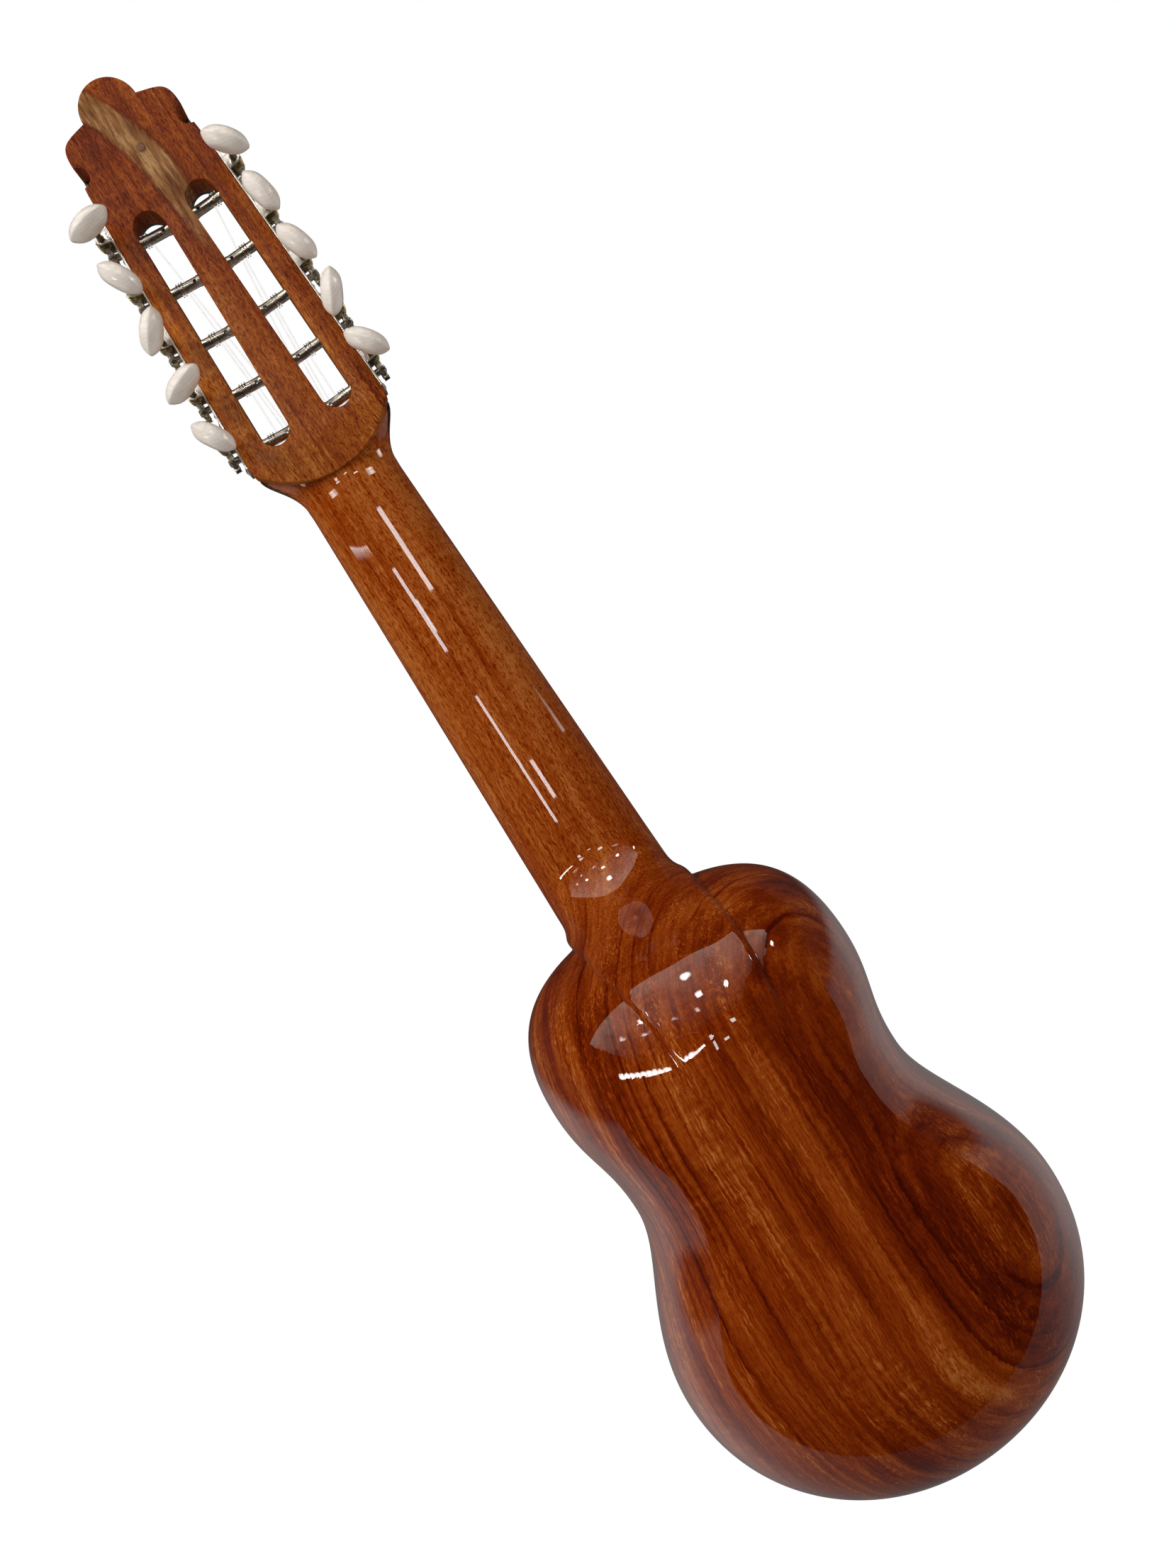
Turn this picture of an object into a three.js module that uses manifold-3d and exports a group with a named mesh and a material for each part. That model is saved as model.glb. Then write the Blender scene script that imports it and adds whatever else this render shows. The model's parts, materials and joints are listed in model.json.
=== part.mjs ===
// Charango with a body, neck and headstock carved from one block of wood, ten strings in five
// double courses, and ten worm and gear tuners in a slotted headstock.
// The frame hangs as the instrument does: +Z runs up the neck, the soundboard faces -Y,
// the round back faces +Y, and the origin is the middle of the nut on the neck's top face.
import * as THREE from 'three';
import { mergeVertices } from 'three/addons/utils/BufferGeometryUtils.js';
import Module from 'manifold-3d';

const wasm = await Module();
wasm.setup();

// Clearances, cutting overrun and the distance under which points are one
const gap = 0.3;
const bearingGap = 0.45;
const overrun = 2;
const weld = 1e-4;

// Body outline, seen from the front
const neckLength = 217;
const bodyLength = 248;
const upperHalf = 70.5;
const upperDrop = 52;
const waistHalf = 62.3;
const waistDrop = 102;
const lowerHalf = 85.5;
const lowerDrop = 174;
const shoulderHandleShares = [0.74, 0.66];
const upperHandleShares = [0.45, 0.45];
const waistHandleShares = [0.3, 0.42];
const tailHandleShares = [0.57, 0.57];

// Carved bowl
const bowlDepth = 84;
const sideWall = 5.5;
const backWall = 6;
const blockLength = 24;
const spineTopShare = 0.34;
const spineTailShare = 0.66;
const bowlPowerShare = 2.05;
const bowlTailPowerShare = 2.45;

// Soundboard, binding and soundhole
const boardThickness = 2.5;
const bindingWidth = 2.2;
const soundholeRadius = 26;
const soundholeDrop = 79;
const rosetteInner = 28.5;
const rosetteOuter = 34;
const rosetteDepth = 0.9;

// Bars under the soundboard
const barWidth = 5;
const barHeight = 8;
const barTaper = 16;
const barTipShare = 0.33;
const strutWidth = 4;
const strutHeight = 4;
const barInset = 4;
const upperBarDrop = 41;
const lowerBarDrop = 116;
const strutTopDrop = 124;
const strutLength = 92;
const strutSpread = 24;
const strutFan = 9;

// Neck and heel
const nutHalf = 22.7;
const joinHalf = 27;
const nutDepth = 15;
const joinDepth = 18.5;
const neckPowerShare = 2.15;
const heelStart = 188;
const heelLength = 98;
const heelDepth = 85.5;
const heelTopHalf = 19.5;
const heelTailLength = 16;
const heelPowerShare = 0.7;

// Headstock block, measured along and across its back face
const headTilt = THREE.MathUtils.degToRad(12);
const headBack = 15.5;
const headThickness = 14;
const headplateThickness = 1.7;
const headArcFoot = 8.4;
const headArcRadius = 42;
const headBaseHalf = 33.8;
const headBase = 24;
const headTopHalf = 27.3;
const headEnd = 23.4;
const flareLength = 28;
const flareStep = 1.5;
const flarePowerShare = 1.6;
const notchRise = 8;
const notchRadius = 4.3;
const shoulderRise = 12.5;
const shoulderHalf = 26.4;
const lobeRise = 25.5;
const lobeRadius = 12.8;
const shoulderReachShare = 0.8;

// Slots
const slotRadius = 6.85;
const slotFoot = 30.2;
const slotEnd = 6.9;
const slotFootAcross = 15.7;
const slotTopAcross = 12.95;
const rampFoot = 11;
const rampLift = 0.2;
const rampDepth = 9;
const rampInset = 1;

// Tuner plates, rollers, gears and worms
const tunersPerSide = 5;
const tunerPitch = 24.4;
const firstRoller = 36;
const rollerRadius = 2.5;
const rollerBlind = 3.5;
const rollerNeckRadius = 1.6;
const rollerHoleRadius = 0.8;
const rollerHoleStand = 2.2;
const plateFoot = 26.5;
const plateEnd = 21.4;
const plateThickness = 1;
const plateBack = 2;
const plateWidth = 12;
const earHalf = 2.5;
const earThickness = 1;
const earTipShare = 0.75;
const wormReach = 3.5;
const wormPitch = 2.4;
const wormRoot = 1.8;
const wormTip = 3.15;
const wormThread = 0.4;
const wormSteps = 8;
const wormTurns = 3.5;
const wormRadius = 2.75;
const shaftRadius = 1.3;
const shaftTail = 1.2;
const gearTeeth = 12;
const gearAddendum = 0.5;
const gearDedendum = 0.9;
const toothShares = [0.27, 0.39, 0.61, 0.73];
const gearWidth = 2.4;
const screwHeight = 0.8;

// Buttons
const buttonLength = 20;
const buttonHeight = 13;
const buttonThickness = 9;
const buttonStand = 8;
const buttonSocket = 6;
const lensOutShares = [0, 0.5, 0.86, 1];
const lensUpShares = [1, 0.9, 0.55, 0.06];
const rightButtonTurns = [-53, -121, -71, -79, -48];
const leftButtonTurns = [-60, 50, -58, 57, -16];

// Nut, fingerboard and frets
const scaleLength = 370;
const nutLength = 4.7;
const nutHeight = 5.6;
const nutCrestShare = 0.6;
const nutSlopeShare = 0.7;
const boardHeight = 4;
const boardInset = 0.3;
const fretCount = 18;
const fretHeight = 1;
const fretWidth = 1.9;
const fretShoulderShare = 0.33;
const fretCrownShare = 0.17;
const boardTail = 5;

// Bridge and saddle
const bridgeLength = 96;
const bridgeCore = 74;
const bridgeHeight = 7.5;
const bridgeFront = 6;
const tieFront = 7;
const tieDepth = 10;
const wingHeight = 2.8;
const wingInset = 2;
const wingSlope = 1;
const bridgeLip = 2.4;
const saddleThickness = 2.4;
const saddleLength = 68;
const saddleHeight = 10.2;
const saddleSeat = 3;
const saddleRoundShare = 0.5;
const tieHole = 0.75;
const tieHoleHeight = 4.6;

// Strings
const stringRadius = 0.36;
const nutSpread = 36;
const saddleSpread = 56;
const nutPair = 2.3;
const saddlePair = 3;
const courses = 5;
const coilTurns = 2.5;
const coilSteps = 10;
const runPoints = 6;
const tieInset = 1;
const stringSides = 5;
const coilGap = 0.5;
const coilPitch = 2 * stringRadius + coilGap;
const coilAcrossShares = [0.68, 0.62, 0.6, 0.66, 0.8];

// Plug in the headstock back
const plugRise = 5.6;
const plugAcross = -2.3;
const plugRadius = 2.1;
const plugDepth = 3;

// Facets
const outlineSteps = [7, 4, 5, 8];
const domeRings = 10;
const flareRows = 8;
const heelRows = 11;
const plateRows = 5;
const holeSides = 6;
const sectionSteps = 14;
const roundSides = 24;
const boreSides = 8;
const hollowRings = 5;
const ringSides = 32;
const earSides = 6;
const buttonSides = 12;
const arcSteps = 8;

// Derived planes and places
const neckTop = gap;
const boardFront = gap;
const boardBack = boardFront + boardThickness;
const rimPlane = boardBack + gap;
const shoulderZ = -neckLength;
const tailZ = shoulderZ - bodyLength;
const soundholeZ = shoulderZ - soundholeDrop;
const bridgeZ = -scaleLength;
const fingerboardEnd = -(fretPlace(fretCount) + boardTail);
const lastRoller = firstRoller + (tunersPerSide - 1) * tunerPitch;
const slotTop = lastRoller + slotEnd;
const plateTop = lastRoller + plateEnd;
const headTop = lastRoller + headEnd;
const notchPlace = headTop + notchRise;
const plugPlace = headTop + plugRise;
const shoulderPlace = headTop + shoulderRise;
const lobePlace = headTop + lobeRise;
const sideSlope = Math.atan2(headBaseHalf - headTopHalf, headTop - headBase);
const rollerDepth = plateBack + plateWidth / 2;
const headFront = headThickness + gap + headplateThickness;
const plateFootPlace = (nutLength + gap - headFront * Math.sin(headTilt)) / Math.cos(headTilt);
const gearPitchRadius = (gearTeeth * wormPitch) / (2 * Math.PI);
const wormOffset = gearPitchRadius + wormRadius;

function fretPlace(number) {
  return scaleLength * (1 - 2 ** (-number / 12));
}

// Finishes
function finish(color, roughness, metalness = 0) {
  return new THREE.MeshStandardMaterial({ color, roughness, metalness });
}

const paint = {
  wood: () => finish(0x8a4a1c, 0.2),
  veneer: () => finish(0x1c1410, 0.3),
  spruce: () => finish(0xd9b777, 0.4),
  ebony: () => finish(0x241712, 0.5),
  bone: () => finish(0xece3cf, 0.45),
  inlay: () => finish(0x5a2f18, 0.4),
  binding: () => finish(0x3a1c10, 0.35),
  bar: () => finish(0xcfae7a, 0.7),
  nickel: () => finish(0xb9b6ac, 0.28, 1),
  steel: () => finish(0xa5a49e, 0.22, 1),
  brass: () => finish(0x8a7440, 0.35, 1),
  ivory: () => finish(0xe9e1d4, 0.3),
  nylon: () => finish(0xe8e4da, 0.25),
  plug: () => finish(0x7c4322, 0.4),
};

// Turns a closed geometry into a solid that can be joined and cut
function solid(geometry) {
  const bare = geometry.clone();
  bare.deleteAttribute('normal');
  bare.deleteAttribute('uv');
  const merged = mergeVertices(bare, weld);
  const properties = Float32Array.from(merged.attributes.position.array);
  const triangles = Uint32Array.from(merged.index.array);
  return new wasm.Manifold(new wasm.Mesh({ numProp: 3, vertProperties: properties, triVerts: triangles }));
}

// Turns a solid back into a geometry
function surface(body) {
  const result = body.getMesh();
  const geometry = new THREE.BufferGeometry();
  geometry.setAttribute('position', new THREE.BufferAttribute(result.vertProperties, 3));
  geometry.setIndex(new THREE.BufferAttribute(result.triVerts, 1));
  geometry.computeVertexNormals();
  return geometry;
}

function named(name, geometry, material) {
  const piece = new THREE.Mesh(geometry, material);
  piece.name = name;
  return piece;
}

// Turns every face round where a closed geometry's faces point inwards
function facingOut(geometry) {
  const place = geometry.attributes.position;
  const index = geometry.index.array;
  const corner = (number) => new THREE.Vector3().fromBufferAttribute(place, index[number]);
  let volume = 0;
  for (let first = 0; first < index.length; first += 3) {
    volume += corner(first).dot(corner(first + 1).cross(corner(first + 2)));
  }
  if (volume < 0) geometry.setIndex(Array.from(index).reverse());
  return geometry;
}

// Skins a row of rings of equal count and closes both ends
function loft(rings) {
  const count = rings[0].length;
  const positions = rings.flat().flatMap((point) => [point.x, point.y, point.z]);
  const faces = [];
  for (let row = 0; row < rings.length - 1; row += 1) {
    for (let step = 0; step < count; step += 1) {
      const near = row * count + step;
      const next = row * count + ((step + 1) % count);
      faces.push(near, next, next + count, near, next + count, near + count);
    }
  }
  const last = (rings.length - 1) * count;
  for (let step = 1; step < count - 1; step += 1) {
    faces.push(0, step + 1, step);
    faces.push(last, last + step, last + step + 1);
  }
  const geometry = new THREE.BufferGeometry();
  geometry.setAttribute('position', new THREE.Float32BufferAttribute(positions, 3));
  geometry.setIndex(faces);
  facingOut(geometry).computeVertexNormals();
  return geometry;
}

function smooth(share) {
  const held = THREE.MathUtils.clamp(share, 0, 1);
  return held * held * (3 - 2 * held);
}

function box(low, high) {
  const size = new THREE.Vector3().subVectors(high, low);
  const middle = new THREE.Vector3().addVectors(low, high).multiplyScalar(0.5);
  return new THREE.BoxGeometry(size.x, size.y, size.z).translate(middle.x, middle.y, middle.z);
}

function vec(x, y, z) {
  return new THREE.Vector3(x, y, z);
}

// Closed list of points from the right half of an outline, mirrored across the centre line
function mirrored(half) {
  const others = half.slice(1, -1).reverse().map((point) => new THREE.Vector2(-point.x, point.y));
  return [...half, ...others];
}

// Right half of the body outline, from the neck to the tail
function bodyHalf(inset = 0, topInset = inset) {
  const top = shoulderZ - topInset;
  const upper = [upperHalf - inset, shoulderZ - upperDrop];
  const waist = [waistHalf - inset, shoulderZ - waistDrop];
  const lower = [lowerHalf - inset, shoulderZ - lowerDrop];
  const tail = [0, tailZ + inset];
  const [topOut, upperUp] = shoulderHandleShares;
  const [upperDown, waistUp] = upperHandleShares;
  const [waistDown, lowerUp] = waistHandleShares;
  const [lowerDown, tailOut] = tailHandleShares;
  const rise = top - upper[1];
  const pinch = upper[1] - waist[1];
  const swell = waist[1] - lower[1];
  const fall = lower[1] - tail[1];
  const spans = [
    [0, top, upper[0] * topOut, top, upper[0], upper[1] + rise * upperUp, ...upper],
    [...upper, upper[0], upper[1] - pinch * upperDown, waist[0], waist[1] + pinch * waistUp, ...waist],
    [...waist, waist[0], waist[1] - swell * waistDown, lower[0], lower[1] + swell * lowerUp, ...lower],
    [...lower, lower[0], lower[1] - fall * lowerDown, lower[0] * tailOut, tail[1], ...tail],
  ];
  const points = [];
  spans.forEach((span, index) => {
    const pairs = [0, 2, 4, 6].map((place) => new THREE.Vector2(span[place], span[place + 1]));
    const run = new THREE.CubicBezierCurve(...pairs).getPoints(outlineSteps[index]);
    points.push(...(index === 0 ? run : run.slice(1)));
  });
  return points;
}

// Dome that rises from an outline to a line along the middle of the back
function dome(half, depth, front, rows) {
  const rim = mirrored(half);
  const count = rim.length;
  const top = half[0].y;
  const tail = half[half.length - 1].y;
  const rings = [rim.map((point) => vec(point.x, front, point.y))];
  for (let row = 0; row <= rows; row += 1) {
    const lift = (row / rows) * (Math.PI / 2);
    rings.push(rim.map((point) => {
      const along = (top - point.y) / (top - tail);
      const spineShare = THREE.MathUtils.lerp(spineTopShare, spineTailShare, along);
      const spine = THREE.MathUtils.lerp(top, tail, spineShare);
      const power = THREE.MathUtils.lerp(bowlPowerShare, bowlTailPowerShare, smooth(along * 2));
      const inward = Math.cos(lift) ** (2 / power);
      const rise = Math.sin(lift) ** (2 / power);
      const narrow = row === rows ? 0 : inward;
      return vec(point.x * narrow, rimPlane + depth * rise, spine + (point.y - spine) * narrow);
    }));
  }
  const positions = rings.flat().flatMap((point) => [point.x, point.y, point.z]);
  const faces = [];
  for (let row = 0; row < rings.length - 1; row += 1) {
    for (let step = 0; step < count; step += 1) {
      const near = row * count + step;
      const next = row * count + ((step + 1) % count);
      faces.push(near, next + count, next, near, near + count, next + count);
    }
  }
  for (let step = 0; step < half.length - 1; step += 1) {
    const across = (count - step) % count;
    const acrossNext = count - step - 1;
    faces.push(step, step + 1, acrossNext, step, acrossNext, across);
  }
  const geometry = new THREE.BufferGeometry();
  geometry.setAttribute('position', new THREE.Float32BufferAttribute(positions, 3));
  geometry.setIndex(faces);
  return closed(geometry);
}

// Drops faces that a merged row of points leaves without area
function closed(geometry) {
  const merged = mergeVertices(geometry, weld);
  const index = merged.index.array;
  const kept = [];
  for (let place = 0; place < index.length; place += 3) {
    const [a, b, c] = index.slice(place, place + 3);
    if (a !== b && b !== c && c !== a) kept.push(a, b, c);
  }
  merged.setIndex(kept);
  return facingOut(merged);
}

// Half width of the neck, its flare to the headstock and its heel at a height
function neckHalf(z) {
  if (z > 0) {
    const share = smooth((z / flareLength) ** flarePowerShare);
    return THREE.MathUtils.lerp(nutHalf, headBaseHalf, share);
  }
  if (z > shoulderZ) return THREE.MathUtils.lerp(nutHalf, joinHalf, z / shoulderZ);
  const share = smooth((shoulderZ - z) / (heelStart + heelLength - neckLength));
  return THREE.MathUtils.lerp(joinHalf, heelTopHalf, share);
}

// Depth of the neck, its flare and its heel at a height
function neckDepth(z) {
  const plain = THREE.MathUtils.lerp(nutDepth, joinDepth, -z / heelStart);
  if (z > 0) {
    const underHead = headBack + z * Math.tan(headTilt) - flareStep - neckTop;
    return THREE.MathUtils.lerp(plain, underHead, smooth(z / headArcFoot));
  }
  const share = THREE.MathUtils.clamp((-z - heelStart) / heelLength, 0, 1);
  return THREE.MathUtils.lerp(plain, heelDepth, smooth(share ** heelPowerShare));
}

function neckSection(z) {
  const half = neckHalf(z);
  const depth = neckDepth(z);
  const points = [];
  for (let step = 0; step <= sectionSteps; step += 1) {
    const turn = (step / sectionSteps) * Math.PI;
    const across = Math.sign(Math.cos(turn)) * Math.abs(Math.cos(turn)) ** (2 / neckPowerShare);
    const back = Math.abs(Math.sin(turn)) ** (2 / neckPowerShare);
    const edge = step === 0 || step === sectionSteps ? 0 : back;
    points.push(vec(half * across, neckTop + depth * edge, z));
  }
  return points;
}

function neckSolid() {
  const heights = [];
  for (let row = 0; row <= flareRows; row += 1) heights.push(flareLength * (1 - row / flareRows));
  heights.push(-heelStart / 2);
  for (let row = 0; row <= heelRows; row += 1) heights.push(-heelStart - (heelLength * row) / heelRows);
  heights.push(-heelStart - heelLength - heelTailLength);
  return solid(loft(heights.map(neckSection)));
}

// Half width of the headstock's straight sides at a place along it
function headHalf(place) {
  const share = (place - headBase) / (headTop - headBase);
  return THREE.MathUtils.lerp(headBaseHalf, headTopHalf, share);
}

// Right half of the headstock's crown, from the end of the straight side to the tip
function crownHalf() {
  const start = new THREE.Vector2(shoulderHalf, shoulderPlace);
  const foot = new THREE.Vector2(lobeRadius, lobePlace);
  const rise = foot.y - start.y;
  const leaving = new THREE.Vector2(start.x, start.y + rise * shoulderReachShare);
  const arriving = new THREE.Vector2(
    THREE.MathUtils.lerp(foot.x, start.x, shoulderReachShare),
    THREE.MathUtils.lerp(start.y, foot.y, shoulderReachShare),
  );
  const curve = new THREE.CubicBezierCurve(start, leaving, arriving, foot);
  const points = [new THREE.Vector2(headTopHalf, headTop), ...curve.getPoints(arcSteps / 2)];
  for (let step = 1; step <= arcSteps; step += 1) {
    const turn = (step / arcSteps) * (Math.PI / 2);
    points.push(new THREE.Vector2(lobeRadius * Math.cos(turn), lobePlace + lobeRadius * Math.sin(turn)));
  }
  points[points.length - 1].x = 0;
  return points;
}

// Round-ended slot on one side of the headstock
function slotPath(side, widen = 0) {
  const low = new THREE.Vector2(slotFootAcross, slotFoot + slotRadius);
  const high = new THREE.Vector2(slotTopAcross, slotTop - slotRadius);
  const lean = Math.atan2(high.y - low.y, high.x - low.x);
  const radius = slotRadius + widen;
  const points = [];
  for (let step = 0; step <= arcSteps; step += 1) {
    const turn = lean - Math.PI / 2 + (step / arcSteps) * Math.PI;
    points.push(new THREE.Vector2(high.x + radius * Math.cos(turn), high.y + radius * Math.sin(turn)));
  }
  for (let step = 0; step <= arcSteps; step += 1) {
    const turn = lean + Math.PI / 2 + (step / arcSteps) * Math.PI;
    points.push(new THREE.Vector2(low.x + radius * Math.cos(turn), low.y + radius * Math.sin(turn)));
  }
  return new THREE.Path(points.map((point) => new THREE.Vector2(side * point.x, point.y)));
}

function flatSolid(points, holes, depth, front = 0) {
  const clockwise = THREE.ShapeUtils.isClockWise(points);
  const shape = new THREE.Shape(clockwise ? points.slice().reverse() : points);
  holes.forEach((hole) => shape.holes.push(hole));
  const geometry = new THREE.ExtrudeGeometry(shape, { depth, bevelEnabled: false });
  return geometry.translate(0, 0, front);
}

// Wedge that lets the strings dip from the nut into a slot
function rampSolid(side) {
  const front = headFront;
  const reach = slotFoot + slotRadius;
  const profile = new THREE.Shape([
    new THREE.Vector2(rampFoot, front + rampLift),
    new THREE.Vector2(rampFoot, front + overrun),
    new THREE.Vector2(reach, front + overrun),
    new THREE.Vector2(reach, front - rampDepth),
  ]);
  const width = 2 * (slotRadius - rampInset);
  const geometry = new THREE.ExtrudeGeometry(profile, { depth: width, bevelEnabled: false });
  geometry.translate(0, 0, -width / 2);
  const frame = new THREE.Matrix4().makeBasis(vec(0, 1, 0), vec(0, 0, 1), vec(1, 0, 0));
  geometry.applyMatrix4(frame);
  return solid(geometry.translate(side * slotFootAcross, 0, 0));
}

// Place of each roller along the headstock's side, counted from the nut
function rollerPlace(number) {
  return firstRoller + number * tunerPitch;
}

// Frame of the headstock: x across, y along its back face, z from its back to its front
function headFrame() {
  const group = new THREE.Group();
  group.position.set(0, headBack, 0);
  group.rotation.x = Math.PI / 2 - headTilt;
  return group;
}

// Frame of one side: x square to the side, y along it, its origin on the plate's inner face
function sideFrame(side) {
  const group = new THREE.Group();
  group.position.set(side * (headHalf(0) + gap), 0, 0);
  group.rotation.z = side * sideSlope;
  return group;
}

function frameMatrix(...groups) {
  const matrix = new THREE.Matrix4();
  groups.forEach((group) => {
    group.updateMatrix();
    matrix.multiply(group.matrix);
  });
  return matrix;
}

// Round bar along a side frame's x, from one reach to another
function crossBar(side, from, to, radius, along, sides = boreSides) {
  const bar = new THREE.CylinderGeometry(radius, radius, Math.abs(to - from), sides);
  bar.rotateZ(Math.PI / 2);
  return bar.translate((side * (from + to)) / 2, along, rollerDepth);
}

// How far the rollers reach inwards from the plate, through the rail and slot into the rib
function rollerReach(number) {
  const place = rollerPlace(number);
  const share = (place - slotFoot) / (slotTop - slotFoot);
  const inner = THREE.MathUtils.lerp(slotFootAcross, slotTopAcross, share) - slotRadius;
  return headHalf(place) - inner + gap;
}

function headstockSolid() {
  const arc = [];
  const centre = headArcFoot + headArcRadius;
  const cornerAcross = headHalf(headBase);
  const sweep = Math.asin(cornerAcross / headArcRadius);
  for (let step = 0; step <= arcSteps; step += 1) {
    const turn = (sweep * step) / arcSteps;
    arc.push(new THREE.Vector2(headArcRadius * Math.sin(turn), centre - headArcRadius * Math.cos(turn)));
  }
  const outline = mirrored([...arc, ...crownHalf()]);
  let block = solid(flatSolid(outline, [slotPath(1), slotPath(-1)], headThickness));
  [1, -1].forEach((side) => {
    const notch = new THREE.CylinderGeometry(notchRadius, notchRadius, headThickness * 3, roundSides);
    notch.rotateX(Math.PI / 2);
    block = block.subtract(solid(notch.translate(side * shoulderHalf, notchPlace, 0)));
    block = block.subtract(rampSolid(side));
    const frame = frameMatrix(sideFrame(side));
    for (let number = 0; number < tunersPerSide; number += 1) {
      const inner = -rollerReach(number) - rollerBlind - gap;
      const bore = crossBar(side, inner, overrun, rollerRadius + gap, rollerPlace(number));
      block = block.subtract(solid(bore.applyMatrix4(frame)));
    }
  });
  const seat = plugRadius + gap;
  const hole = new THREE.CylinderGeometry(seat, seat, 2 * (plugDepth + gap), boreSides);
  return block.subtract(solid(hole.rotateX(Math.PI / 2).translate(plugAcross, plugPlace, 0)));
}

// Body, neck and headstock in one piece, with the bowl hollowed from the front
function carvedBody() {
  const head = frameMatrix(headFrame());
  const outer = solid(dome(bodyHalf(), bowlDepth, rimPlane, domeRings));
  const inner = bodyHalf(sideWall, blockLength);
  const hollow = solid(dome(inner, bowlDepth - backWall, rimPlane - overrun * 2, hollowRings));
  const frontCut = box(
    vec(-headBaseHalf * 2, plateFootPlace - gap, headThickness),
    vec(headBaseHalf * 2, headTop, headThickness * 2),
  );
  const boardBed = box(
    vec(-lowerHalf, -overrun, tailZ - overrun),
    vec(lowerHalf, rimPlane, shoulderZ + gap),
  );
  let ramps = rampSolid(1).add(rampSolid(-1));
  ramps = solid(surface(ramps).applyMatrix4(head));
  const shaped = neckSolid().subtract(solid(frontCut.applyMatrix4(head)));
  const neck = shaped.subtract(solid(boardBed)).subtract(ramps);
  const block = solid(surface(headstockSolid()).applyMatrix4(head));
  const slots = [1, -1].map((side) => {
    const shape = new THREE.Shape(slotPath(side).getPoints());
    const cut = new THREE.ExtrudeGeometry(shape, { depth: headThickness * 3, bevelEnabled: false });
    return solid(cut.translate(0, 0, -headThickness).applyMatrix4(head));
  });
  const openNeck = neck.subtract(slots[0]).subtract(slots[1]);
  return surface(outer.add(openNeck).subtract(hollow).add(block));
}

// Dark veneer on the front of the headstock
function headplate() {
  const foot = plateFootPlace;
  const flare = [];
  for (let row = 0; row <= plateRows; row += 1) {
    const place = foot + ((headBase - foot) * row) / plateRows;
    const height = place * Math.cos(headTilt) + headFront * Math.sin(headTilt);
    flare.push(new THREE.Vector2(Math.min(neckHalf(height), headHalf(place)) - gap, place));
  }
  const half = [new THREE.Vector2(0, foot), ...flare, ...crownHalf()];
  const holes = [slotPath(1), slotPath(-1)];
  const front = headThickness + gap;
  const plate = solid(flatSolid(mirrored(half), holes, headplateThickness, front));
  return surface(plate.subtract(rampSolid(1)).subtract(rampSolid(-1)));
}

// Flat piece cut from an outline seen from the front, between two planes
function boardSolid(half, holes, frontPlane, thickness) {
  const geometry = flatSolid(mirrored(half), holes, thickness);
  return geometry.rotateX(Math.PI / 2).translate(0, frontPlane + thickness, 0);
}

function circlePath(radius, sides = roundSides) {
  const path = new THREE.Path();
  path.absarc(0, soundholeZ, radius, 0, Math.PI * 2, true);
  return new THREE.Path(path.getPoints(sides / 2).slice(0, -1));
}

// Outline moved inwards square to itself
function insetHalf(half, distance) {
  return half.map((point, index) => {
    if (index === 0) return new THREE.Vector2(0, point.y - distance);
    if (index === half.length - 1) return new THREE.Vector2(0, point.y + distance);
    const along = new THREE.Vector2().subVectors(half[index + 1], half[index - 1]).normalize();
    return new THREE.Vector2(point.x + along.y * distance, point.y - along.x * distance);
  });
}

function ring(outer, inner, depth) {
  const rim = circlePath(outer, ringSides).getPoints();
  return flatSolid(rim, [circlePath(inner, ringSides)], depth).rotateX(Math.PI / 2);
}

function soundboard() {
  const half = insetHalf(bodyHalf(), bindingWidth + gap);
  const plate = solid(boardSolid(half, [circlePath(soundholeRadius)], boardFront, boardThickness));
  const channel = ring(rosetteOuter + gap, rosetteInner - gap, rosetteDepth + overrun);
  channel.translate(0, boardFront + rosetteDepth + gap, 0);
  return surface(plate.subtract(solid(channel)));
}

function rosette() {
  return ring(rosetteOuter, rosetteInner, rosetteDepth).translate(0, boardFront + rosetteDepth, 0);
}

function binding() {
  const half = bodyHalf();
  const hole = new THREE.Path(mirrored(insetHalf(half, bindingWidth)));
  return boardSolid(half, [hole], boardFront, boardThickness);
}

function crossBrace(drop) {
  const z = shoulderZ - drop;
  const inner = bodyHalf(sideWall + barInset, blockLength);
  const nearest = inner.reduce((best, point) => (
    Math.abs(point.y - z) < Math.abs(best.y - z) ? point : best
  ));
  const half = nearest.x;
  const profile = new THREE.Shape([
    new THREE.Vector2(-half, rimPlane),
    new THREE.Vector2(half, rimPlane),
    new THREE.Vector2(half, rimPlane + barHeight * barTipShare),
    new THREE.Vector2(half - barTaper, rimPlane + barHeight),
    new THREE.Vector2(-half + barTaper, rimPlane + barHeight),
    new THREE.Vector2(-half, rimPlane + barHeight * barTipShare),
  ]);
  const bar = new THREE.ExtrudeGeometry(profile, { depth: barWidth, bevelEnabled: false });
  return bar.translate(0, 0, z - barWidth / 2);
}

function fanStrut(number) {
  const top = shoulderZ - strutTopDrop;
  const place = number * strutSpread;
  const lean = number * strutFan;
  const shape = new THREE.Shape([
    new THREE.Vector2(place - strutWidth / 2, top),
    new THREE.Vector2(place + lean - strutWidth / 2, top - strutLength),
    new THREE.Vector2(place + lean + strutWidth / 2, top - strutLength),
    new THREE.Vector2(place + strutWidth / 2, top),
  ]);
  const bar = new THREE.ExtrudeGeometry(shape, { depth: strutHeight, bevelEnabled: false });
  return bar.rotateX(Math.PI / 2).translate(0, rimPlane + strutHeight, 0);
}

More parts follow.
